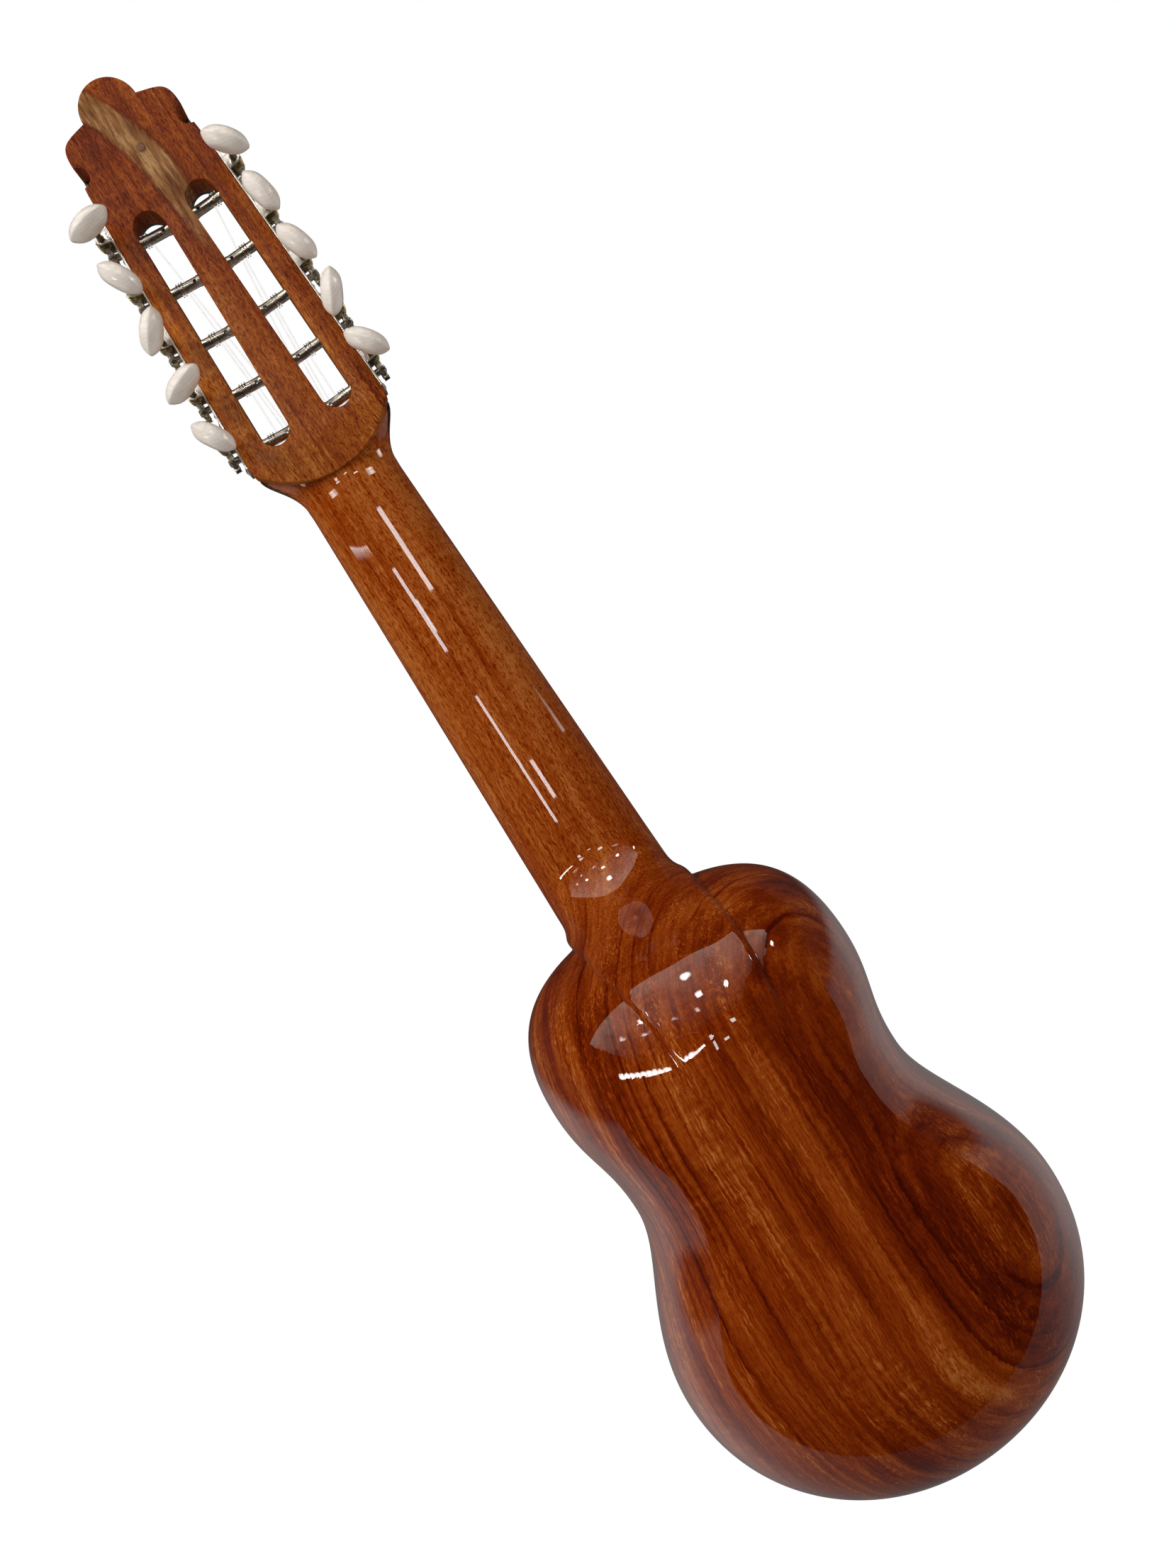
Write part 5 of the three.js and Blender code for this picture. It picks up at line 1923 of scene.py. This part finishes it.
    def knob(self, number: int, finish: Material) -> Piece:
        """Oval button whose two domed faces meet in a ridge.

        Args:
            number: The machine.
            finish: The piece's material.

        Returns:
            The piece.
        """
        shape = bmesh.new()
        bmesh.ops.create_uvsphere(shape, u_segments=64, v_segments=32, radius=1.0)
        length, height, thickness = (size / 2 for size in self.button)
        for vertex in shape.verts:
            x, y, z = vertex.co
            out = math.hypot(x, y)
            rise = 1.0 - 0.93 * out**3.3
            way = 0.0 if abs(z) < 1e-6 else math.copysign(1.0, z)
            scale = out**0.85 / out if out > 1e-6 else 0.0
            vertex.co = (x * scale * length, y * scale * height, way * rise * thickness)
        deep = self.head.roller_depth + self.button_stand + self.button[1] / 2
        turn = Matrix.Rotation(math.radians(self.side.value * self.turns[number]), 4, "Y")
        place = self.spindle(number) @ Matrix.Translation((0, -deep, 0)) @ turn
        return shade(finished(self.name("button", number) + "_dressed", shape, place, finish), 24.0)

    def build(self, finishes: dict[str, Material]) -> None:
        """Builds and seats all pieces of this side.

        Args:
            finishes: Materials by name.
        """
        seat(self.plate(finishes["nickel"]), ROOT, f"tuner_plate_{self.side.label}")
        for number in range(5):
            roller, tuner = self.name("string_roller", number), self.name("tuner", number)
            seat(self.roller(number, finishes["steel"]), roller, self.name("roller", number))
            seat(self.gear(number, finishes["steel"]), roller, self.name("roller", number))
            seat(self.worm(number, finishes["brass"]), tuner, self.name("worm", number))
            seat(self.knob(number, finishes["ivory"]), tuner, self.name("button", number))


# Front of the instrument


@dataclass
class Front:
    """Soundboard, rosette, binding, fingerboard, nut, bridge and saddle."""

    bowl: BowlForm = field(default_factory=BowlForm)
    neck: NeckForm = field(default_factory=NeckForm)
    board_front: float = 0.3
    board_thickness: float = 2.5
    binding_width: float = 2.2
    soundhole: Pair = (26.0, -296.0)
    rosette: Pair = (28.5, 34.0)
    board_height: float = 4.0
    board_inset: float = 0.3
    frets: int = 18
    fret: Pair = (0.95, 1.05)
    dots: tuple[int, ...] = (5, 7, 10, 12)
    double_dot: int = 12
    dot_profile: Profile = ((0.0, 0.0), (2.4, 0.0), (2.5, 0.05), (2.5, 1.0), (0.0, 1.0))
    nut_profile: Profile = ((0.0, 0.0), (4.7, 0.0), (4.7, 3.9), (2.8, 5.9), (0.0, 5.9))
    saddle_profile: Profile = ((1.2, 3.2), (1.2, 9.3), (0.5, 10.2), (-0.5, 10.2), (-1.2, 9.3), (-1.2, 3.2))
    saddle_slot: Profile = ((-1.3, 3.0), (1.3, 3.0), (1.3, 12.0), (-1.3, 12.0))
    bridge_core: Profile = (
        (6.0, -GAP), (6.0, 2.8), (3.9, 7.5), (-3.9, 7.5), (-3.9, 2.8), (-7.0, 2.8), (-7.0, 7.5), (-14.2, 7.5),
        (-17.0, 4.7), (-17.0, -GAP),
    )
    bridge_wings: Profile = ((4.0, -GAP), (3.0, 2.8), (-14.0, 2.8), (-15.0, -GAP))

    def upright(self, front: float) -> Matrix:
        """Matrix from (x, z, depth) to the frame, for a board whose front is at a plane."""
        return Matrix(((1, 0, 0, 0), (0, 0, 1, front), (0, 1, 0, 0), (0, 0, 0, 1)))

    def crossbar(
        self, name: str, profile: Profile, place: float, half: float, ease: float, finish: Material,
        segments: int = 3,
    ) -> Piece:
        """Bar that lies across the instrument.

        Args:
            name: Name of the piece.
            profile: Corners of the section, as how far along Z from the place and how high.
            place: The place along Z.
            half: Half the bar's length.
            ease: Width of the eased edges.
            finish: The piece's material.
            segments: Segments of the eased edges.

        Returns:
            The piece.
        """
        corners = [(place + along, height) for along, height in profile]
        across = Matrix(((0, 0, 1, 0), (0, -1, 0, 0), (1, 0, 0, 0), (0, 0, 0, 1)))
        return bar(name, corners, half, ease, across, finish, segments)

    def fret_place(self, number: int) -> float:
        """Place of a fret along Z."""
        return -STRING_LENGTH * (1 - 2 ** (-number / 12))

    def top(self, spruce: Material, trim: Material, inlay: Material) -> None:
        """Soundboard, its binding and the ring round the soundhole.

        Args:
            spruce: Wood of the soundboard.
            trim: Wood of the binding.
            inlay: Wood of the ring.
        """
        inner, outer = self.bowl.whole(self.binding_width), self.bowl.whole(0.0)
        radius, middle = self.soundhole
        hole, small, large = (circle((0.0, middle), size, 96) for size in (radius, *self.rosette))
        thickness, place = self.board_thickness, self.upright(self.board_front)
        seat(flat_piece("spruce_top", [inner, hole], thickness, 0.12, place, spruce), ROOT, "soundboard")
        binding = flat_piece("edge_binding", [outer, inner], thickness + GAP, 0.35, place, trim)
        seat(binding, ROOT, "top_binding")
        proud = self.upright(self.board_front - 0.12)
        seat(flat_piece("soundhole_ring", [large, small], 0.9, 0.1, proud, inlay), ROOT, "rosette")

    def fingerboard(self, ebony: Material, steel: Material, bone: Material) -> None:
        """Fingerboard with its frets and position dots.

        Args:
            ebony: Wood of the board.
            steel: Metal of the frets.
            bone: Finish of the dots.
        """
        end, height, shoulder = self.fret_place(self.frets) - 5.0, self.board_height, self.neck.shoulder
        nut_half, join_half = (half - self.board_inset for half in (self.neck.nut_half, self.neck.join_half))
        outline = np.array([
            (-nut_half, 0), (nut_half, 0), (join_half, shoulder), (join_half, end), (-join_half, end),
            (-join_half, shoulder),
        ])
        board = flat_piece("fingerboard_dressed", [outline], height + GAP, 0.4, self.upright(-height), ebony)
        seat(board, ROOT, "fingerboard")
        wide, high = self.fret
        crown = arc((0.0, 0.0), 1.0, 0.0, math.pi, 11) * (wide, high) + (0.0, height - 0.1)
        profile = [(wide, height - 0.3), *crown, (-wide, height - 0.3)]
        wires = []
        for number in range(1, self.frets + 1):
            place = self.fret_place(number)
            half = lerp(nut_half, join_half, min(place / shoulder, 1.0))
            wires.append(self.crossbar("fret", profile, place, half, 0.06, steel, 1))
        seat(merged("frets", wires), ROOT, "fingerboard")
        marks = []
        for number in self.dots:
            place = (self.fret_place(number) + self.fret_place(number - 1)) / 2
            for across in (-7.0, 7.0) if number == self.double_dot else (0.0,):
                matrix = Matrix.Translation((across, -height - 0.03, place))
                marks.append(lathe("dot", self.dot_profile, 32, matrix, bone))
        seat(merged("position_dots", marks), ROOT, "fingerboard")

    def nut(self, bone: Material) -> None:
        """Bone nut, which the strings cross."""
        half = self.neck.nut_half - self.board_inset
        seat(self.crossbar("nut_dressed", self.nut_profile, 0.0, half, 0.35, bone), ROOT, "nut")

    def bridge(self, ebony: Material, bone: Material) -> None:
        """Bridge with its tie block and saddle.

        Args:
            ebony: Wood of the bridge.
            bone: Finish of the saddle.
        """
        place = -STRING_LENGTH
        core = self.crossbar("core", self.bridge_core, place, 37.0, 0.4, ebony)
        wings = self.crossbar("wings", self.bridge_wings, place, 48.0, 0.5, ebony)
        core = cut(core, self.crossbar("slot", self.saddle_slot, place, 34.2, 0.02, ebony, 1))
        seat(merged("bridge_dressed", [core, wings]), ROOT, "bridge")
        seat(self.crossbar("saddle_dressed", self.saddle_profile, place, 34.0, 0.3, bone), ROOT, "saddle")


@dataclass
class Strings:
    """Ten nylon strings from the tie block to their rollers."""

    radius: float = 0.36
    nut: Pair = (36.0, 2.3)
    nut_place: Pair = (0.3, 2.82)
    nut_height: float = 5.85
    saddle: Pair = (56.0, 3.0)
    saddle_height: float = 10.2
    tie: Pair = (16.0, 6.7)
    tie_height: float = 4.6
    coil_turns: float = 2.5
    coil_shares: tuple[float, ...] = (0.68, 0.62, 0.6, 0.66, 0.8)
    coil_pitch: float = 1.22
    coil_sink: float = 0.15
    steps: int = 24

    def across(self, number: int, spread: float, pair: float) -> float:
        """Place of a string across the instrument."""
        middle = (number // 2 / 4 - 0.5) * (spread - pair)
        return middle + (-pair / 2 if number % 2 == 0 else pair / 2)

    def route(self, number: int, tuner: TunerSide) -> list[Vector]:
        """Points of one string.

        Args:
            number: The string, counted from the right.
            tuner: The side that it winds on.

        Returns:
            The points in millimetres.
        """
        side, head = tuner.side.value, tuner.head
        order = number if side < 0 else 9 - number
        at_nut, at_saddle = self.across(number, *self.nut), self.across(number, *self.saddle)
        lift = self.radius + GAP * 0.2
        points = [Vector((at_saddle, -self.tie_height, -STRING_LENGTH - back)) for back in self.tie]
        for shift in (-0.8, 0.8):
            points.append(Vector((at_saddle, -self.saddle_height - lift, -STRING_LENGTH + shift)))
        points += [Vector((at_nut, -self.nut_height - lift, place)) for place in self.nut_place]
        frame = head.side(tuner.side)
        start = frame.inverted() @ points[-1]
        along, deep = head.roller_place(order), head.roller_depth
        radius = tuner.roller_radius - self.coil_sink + self.radius
        away = (start.y - along, start.z - deep)
        first = math.atan2(*away) + math.acos(radius / math.hypot(*away))
        middle = side * (2 * head.slot_radius * self.coil_shares[order] - tuner.reach(order))
        begin = middle - side * self.coil_pitch * self.coil_turns / 2
        for step in range(int(self.coil_turns * self.steps) + 1):
            turn = first + step / self.steps * 2 * math.pi
            x = begin + side * self.coil_pitch * step / self.steps
            spot = (x, along + radius * math.sin(turn), deep + radius * math.cos(turn))
            points.append(frame @ Vector(spot))
        return points

    def build(self, tuners: dict[Side, TunerSide], finish: Material) -> None:
        """Makes the strings, five on each side.

        Args:
            tuners: The sides by name.
            finish: The strings' material.
        """
        for number in range(10):
            route = self.route(number, tuners[Side.RIGHT if number < 5 else Side.LEFT])
            piece = wire(f"string_{number + 1}_dressed", route, self.radius, finish)
            seat(piece, ROOT, f"string_{number + 1}")


# Studio


@dataclass(frozen=True)
class Lamp:
    """Area lamp that looks at a point, given in metres, watts and plain colours."""

    name: str
    place: Point
    size: Pair
    power: float
    aim: Point = (0.0, 0.04, -0.2)
    colour: Colour = (1.0, 1.0, 1.0)
    lights: bool = True
    shines: bool = True
    beam: float = math.pi

    @classmethod
    def narrow(cls, name: str, place: Point, size: Pair, glow: float, aim: Point, beam: float) -> Lamp:
        """Lamp with a narrow beam that only shows in what mirrors it.

        Args:
            name: Name of the lamp.
            place: Its place.
            size: Width and height.
            glow: Radiance in the middle of the beam.
            aim: Point that it looks at.
            beam: Angle of the beam.

        Returns:
            The lamp.
        """
        half = beam / 2
        power = glow * math.pi * size[0] * size[1] * (math.tan(half) - half) / math.tan(half)
        return cls(name, place, size, power, aim, colour=(1.0, 0.97, 0.92), lights=False, beam=beam)

    def hang(self) -> None:
        """Puts the lamp in the scene."""
        light = bpy.data.lights.new(self.name, "AREA")
        light.shape = "RECTANGLE"
        light.size, light.size_y = self.size
        light.energy = self.power
        light.color = self.colour
        light.spread = self.beam
        lamp = linked(self.name, light)
        lamp.location = self.place
        lamp.rotation_euler = (Vector(self.aim) - Vector(self.place)).to_track_quat("-Z", "Y").to_euler()
        lamp.visible_diffuse = self.lights
        lamp.visible_glossy = self.shines
        lamp.visible_camera = False


@dataclass
class Studio:
    """Pale room behind the instrument, its lamps and the camera, in metres and degrees."""

    wall: float = -0.85
    floor: float = -1.1
    half: float = 2.4
    wall_top: float = 1.0
    wing_top: float = 0.1
    front: float = 0.45
    floor_front: float = 0.2
    cove: float = 0.3
    camera_place: Point = (0.00393, 0.53203, -0.22249)
    camera_turn: Point = (-0.1179, -0.0031, -0.5752)
    focal: float = 1755.5
    picture_height: float = 2212.0
    sensor: float = 36.0
    key: Lamp = Lamp("key", (1.05, 1.1, 0.9), (0.7, 0.7), 20.0, shines=False)
    fill: Lamp = Lamp("fill", (-1.1, 1.0, 0.1), (0.9, 0.9), 4.0, shines=False)
    heel: Point = (0.0, 0.065, -0.24)
    lamp_distance: float = 3.7
    lamp_glow: float = 90.0
    lamp_beam: float = math.radians(4.5)
    spots: tuple[tuple[Point, Pair, float], ...] = (
        ((-0.39, 0.51, 0.77), (3.4, 3.4), 1.0), ((-0.04, 0.51, 0.86), (3.4, 3.4), 1.0),
        ((0.29, 0.45, 0.84), (3.4, 3.4), 1.0), ((-0.03, 0.32, 0.95), (10.0, 5.0), 1.0),
        ((-0.36, 0.51, 0.78), (8.0, 3.0), 1.0), ((0.07, 0.61, 0.79), (4.5, 2.6), 0.3),
        ((0.51, 0.42, 0.75), (10.0, 3.0), 0.3), ((0.34, 0.56, 0.75), (4.0, 2.2), 0.3),
        ((-0.76, 0.25, 0.61), (3.0, 6.0), 1.0),
    )
    bar_azimuths: Pair = (29.0, 63.0)
    bar_elevation: float = 24.5
    bar_step: float = 3.8
    bar_size: Pair = (4.104, 3.4)
    strips: tuple[tuple[float, float, float, float], ...] = (
        (0.32, 0.37, 0.53, 0.12), (0.24, 0.40, 0.46, 0.06), (0.30, 0.03, 0.27, 0.09),
        (-0.02, 0.06, 0.13, 0.08), (-0.30, 0.47, 0.63, 0.16),
    )
    strip_away: float = 1.45
    strip_glow: float = 22.0
    strip_aim: Point = (0.0, 0.02, -0.1)
    head: Point = (0.0, 0.04, 0.11)
    glints: tuple[Point, ...] = ((0.55, 1.0, 0.75), (-0.6, 0.9, 0.7), (0.9, 0.5, -0.1), (-0.95, 0.35, 0.2))
    glint_glow: float = 26.0
    glint_beam: float = math.radians(17.0)
    canopy_height: float = 3.95
    canopy_reach: Pair = (0.78, 5.5)
    canopy_half: float = 4.5
    canopy_glow: float = 4.4
    canopy_fall: float = 2.2
    dim_reach: Pair = (150.0, 1250.0)
    dim: float = 0.16
    sheen: float = 0.8
    sheen_top: Pair = (-340.0, -100.0)
    sheen_low: float = 0.12

    def backdrop(self) -> None:
        """Floor, wall and wings in one sheet with coved corners."""
        shape = bmesh.new()
        bmesh.ops.create_cube(shape, size=1.0)
        for vertex in shape.verts:
            right, near, high = (part > 0 for part in vertex.co)
            top = self.wing_top if near else self.wall_top
            front = self.front if high else self.floor_front
            vertex.co = (
                self.half if right else -self.half, front if near else self.wall, top if high else self.floor,
            )
        open_sides = [face for face in shape.faces if face.normal.y > 0.5 or face.normal.z > 0.5]
        bmesh.ops.delete(shape, geom=open_sides, context="FACES_ONLY")
        corners = [edge for edge in shape.edges if len(edge.link_faces) == 2]
        bmesh.ops.bevel(
            shape, geom=corners, offset=self.cove, offset_type="OFFSET", segments=8, profile=0.5,
            affect="EDGES", material=-1,
        )
        bmesh.ops.reverse_faces(shape, faces=shape.faces)
        for face in shape.faces:
            face.smooth = True
        linked("backdrop", meshed("backdrop", shape), self.paper())

    def paper(self) -> Material:
        """Pale paper that is white in itself and paler at its sides where metal and varnish mirror it."""
        graph = Graph(bpy.data.materials.new("backdrop_paper"))
        plain = graph.set(
            graph.tree.nodes["Principled BSDF"], {"Base Color": (0.80, 0.80, 0.80), "Roughness": 0.85},
        )
        direct = graph.math("MAXIMUM", graph.ray("Camera"), graph.ray("Transmission"))
        seen = graph.math("MAXIMUM", direct, graph.ray("Glossy"))
        x, _, z = graph.place().parts()
        low = z.span(*self.sheen_top, 1.0, self.sheen_low)
        sides = abs(x).span(*self.dim_reach, self.dim, self.sheen) * low
        glow = graph.glow((1.0, 1.0, 1.0), graph.math("MAXIMUM", direct, sides))
        graph.show(graph.choose(seen, plain, glow))
        return graph.owner

    def room(self) -> None:
        """Dim room that lights all sides softly and is white where the camera looks into it."""
        world = bpy.data.worlds.new("studio_room")
        bpy.context.scene.world = world
        graph = Graph(world)
        dim = graph.set(graph.tree.nodes["Background"], {"Color": (0.60, 0.55, 0.53), "Strength": 0.5})
        dark = graph.node("Background", {"Color": (0.55, 0.45, 0.45), "Strength": 0.05})
        white = graph.node("Background", {"Color": (1.0, 1.0, 1.0), "Strength": 1.0})
        lit = graph.choose(graph.ray("Glossy"), dim, dark)
        graph.show(graph.choose(graph.ray("Camera"), lit, white))

    def canopy(self) -> None:
        """Ceiling that only shows as a soft light in the varnish, brightest at its back edge."""
        low, high = self.canopy_reach
        shape = bmesh.new()
        bmesh.ops.create_grid(shape, x_segments=1, y_segments=1, size=1.0)
        bmesh.ops.scale(shape, vec=(self.canopy_half, (high - low) / 2, 1.0), verts=shape.verts)
        bmesh.ops.translate(shape, vec=(0.0, (high + low) / 2, self.canopy_height), verts=shape.verts)
        graph = Graph(bpy.data.materials.new("canopy_light"))
        y = graph.place().parts()[1]
        left = graph.math("SUBTRACT", 1.0, (y - low / MM) / ((high - low) / MM), clamp=True)
        cloud = graph.noise((0.0009, 0.0009, 0.0)).span(0.3, 0.6, 0.55, 1.0)
        strength = graph.math("POWER", left, self.canopy_fall) * cloud * self.canopy_glow
        graph.show(graph.glow(WARM_WHITE, strength))
        sheet = linked("canopy", meshed("canopy", shape), graph.owner)
        for kind in ("camera", "diffuse", "shadow", "transmission"):
            setattr(sheet, f"visible_{kind}", False)

    def spot(self, number: int, way: Point, size: Pair, share: float) -> Lamp:
        """Bright lamp that only shows as a sharp light.

        Args:
            number: Number of the lamp.
            way: Direction from the heel.
            size: Width and height in degrees, as the heel sees them.
            share: Share of the full radiance.

        Returns:
            The lamp.
        """
        place = Vector(self.heel) + Vector(way).normalized() * self.lamp_distance
        width, height = (2 * self.lamp_distance * math.tan(math.radians(angle) / 2) for angle in size)
        glow = self.lamp_glow * share
        return Lamp.narrow(
            f"spot_{number}", tuple(place), (width, height), glow, self.heel, self.lamp_beam,
        )

    def strip(self, number: int, across: float, low: float, high: float, width: float) -> Lamp:
        """Upright lamp whose reflection runs along the neck.

        Args:
            number: Number of the lamp.
            across: Its place across.
            low: Its foot.
            high: Its top.
            width: Its width.

        Returns:
            The lamp.
        """
        power = self.strip_glow * math.pi * width * (high - low)
        place = (across, self.strip_away, (low + high) / 2)
        return Lamp(f"strip_{number}", place, (width, high - low), power, self.strip_aim, lights=False)

    def long_bar(self) -> tuple[tuple[Point, Pair, float], ...]:
        """Long bar lamp in short pieces, each of which looks straight at the heel."""
        up, found = math.radians(self.bar_elevation), []
        for azimuth in np.radians(np.arange(*self.bar_azimuths, self.bar_step)):
            way = (math.sin(azimuth) * math.cos(up), math.cos(azimuth) * math.cos(up), math.sin(up))
            found.append((way, self.bar_size, 1.0))
        return tuple(found)

    def light(self) -> None:
        """Soft lamps that give the light and small ones that only show as sharp lights."""
        self.room()
        self.canopy()
        lamps = [self.key, self.fill]
        lamps += [self.spot(number, *spot) for number, spot in enumerate(self.spots + self.long_bar())]
        lamps += [self.strip(number, *strip) for number, strip in enumerate(self.strips)]
        for number, place in enumerate(self.glints):
            size, glow, beam = (0.3, 0.3), self.glint_glow, self.glint_beam
            lamps.append(Lamp.narrow(f"glint_{number}", place, size, glow, self.head, beam))
        for lamp in lamps:
            lamp.hang()
        LOG.info("studio with %d lamps", len(lamps))

    def camera(self) -> None:
        """Camera at the photograph's angle."""
        data = bpy.data.cameras.new("camera")
        data.sensor_width = self.sensor
        data.lens = self.focal * self.sensor / self.picture_height
        data.clip_start = 0.01
        data.clip_end = 30.0
        turn = Vector(self.camera_turn)
        base = Matrix(((-1, 0, 0), (0, 0, -1), (0, -1, 0)))
        right, down, forward = Matrix.Rotation(turn.length, 3, turn.normalized()) @ base
        view = Matrix((right, -down, -forward)).transposed().to_4x4()
        view.translation = Vector(self.camera_place)
        camera = linked("camera", data)
        camera.matrix_world = view
        bpy.context.scene.camera = camera


def finishes() -> dict[str, Material]:
    """All materials by name."""
    satin_shades = (
        (0.0, (0.080, 0.0075, 0.0005)), (0.3, (0.185, 0.027, 0.0014)), (0.55, (0.300, 0.059, 0.0036)),
        (0.8, (0.42, 0.110, 0.010)), (1.0, (0.56, 0.20, 0.035)),
    )
    made = {
        # The neck's tone is lifted: painted light from above, partly the wood's own tone.
        "varnish": CarvedWood("varnished_wood", neck_lift=0.29, neck_dash=0.18),
        "satin": CarvedWood(
            "satin_head_wood", satin_shades, grain=Grain((-420.0, 90.0), 8.0, 1.2), band=0.75, streak=0.6,
            fleck=0.15, fibre=0.55, curl=0.35, pores=0.85, dash=0.5, plain=1.0, lift=0.70, coat=0.0,
            specular=0.12, rough=(0.36, 0.48), pore_depth=0.05, sapwood=True, tip_dark=0.24,
        ),
        "bare": PlainWood("bare_wood", (0.50, 0.26, 0.12), (0.33, 0.15, 0.06), 3.0, 0.4, 0.7),
        "spruce": PlainWood("spruce", (0.70, 0.47, 0.23), (0.50, 0.27, 0.10), 1.5, 0.55, 0.32, 0.6),
        "brace": PlainWood("brace_spruce", (0.68, 0.47, 0.25), (0.52, 0.31, 0.14), 1.8, 0.5, 0.65),
        "veneer": PlainWood("dark_veneer", (0.030, 0.016, 0.010), (0.010, 0.006, 0.004), 2.0, 0.5, 0.3, 0.7),
        "ebony": PlainWood("ebony", (0.030, 0.018, 0.013), (0.008, 0.005, 0.004), 1.4, 0.5, 0.42),
        "binding": PlainWood(
            "binding_wood", (0.075, 0.022, 0.010), (0.030, 0.008, 0.004), 1.8, 0.5, 0.3, 0.6,
        ),
        "inlay": PlainWood("inlay_wood", (0.16, 0.05, 0.02), (0.05, 0.015, 0.008), 1.0, 0.5, 0.35, 0.5),
        "plug": PlugWood("plug_wood"),
        "bone": Ivory("bone", (0.80, 0.74, 0.62), (0.68, 0.60, 0.46)),
        "ivory": Ivory("ivory_button"),
        "nickel": Metal("nickel", (0.72, 0.69, 0.62), (0.38, 0.35, 0.30), 0.24, 0.4),
        "steel": Metal("roller_steel", (0.54, 0.50, 0.42), (0.20, 0.17, 0.12), 0.22, 0.6),
        "brass": Metal("dark_brass", (0.46, 0.35, 0.16), (0.10, 0.07, 0.03), 0.24, 0.7),
        "nylon": Nylon("nylon"),
    }
    return {key: value.make() for key, value in made.items()}


def main() -> None:
    """Builds every piece in order and seats it on the frame."""
    logging.basicConfig(level=logging.INFO, format="%(message)s")
    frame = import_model()
    bpy.context.scene.view_settings.view_transform = "Standard"
    finish = finishes()
    studio = Studio()
    studio.camera()
    studio.backdrop()
    studio.light()

    seat(CarvedBody().build(finish["varnish"], finish["bare"]), ROOT, "carved_body")
    head = Headstock()
    seat(head.block(finish["satin"]), ROOT, "carved_body")
    seat(head.plate(finish["veneer"]), ROOT, "headplate")
    seat(head.plug(finish["plug"]), ROOT, "headstock_plug")
    tuners = {
        Side.RIGHT: TunerSide(Side.RIGHT, (-53.0, -121.0, -71.0, -79.0, -48.0)),
        Side.LEFT: TunerSide(Side.LEFT, (55.0, -25.0, -58.0, 57.0, -16.0)),
    }
    for tuner in tuners.values():
        tuner.build(finish)
    front = Front()
    front.top(finish["spruce"], finish["binding"], finish["inlay"])
    front.fingerboard(finish["ebony"], finish["nickel"], finish["bone"])
    front.nut(finish["bone"])
    front.bridge(finish["ebony"], finish["bone"])
    Strings().build(tuners, finish["nylon"])
    for name in ("upper_brace", "lower_brace", "fan_strut_1", "fan_strut_2", "fan_strut_3"):
        for slot in frame["nodes"][name].material_slots:
            slot.material = finish["brace"]


if __name__ == "__main__":
    main()
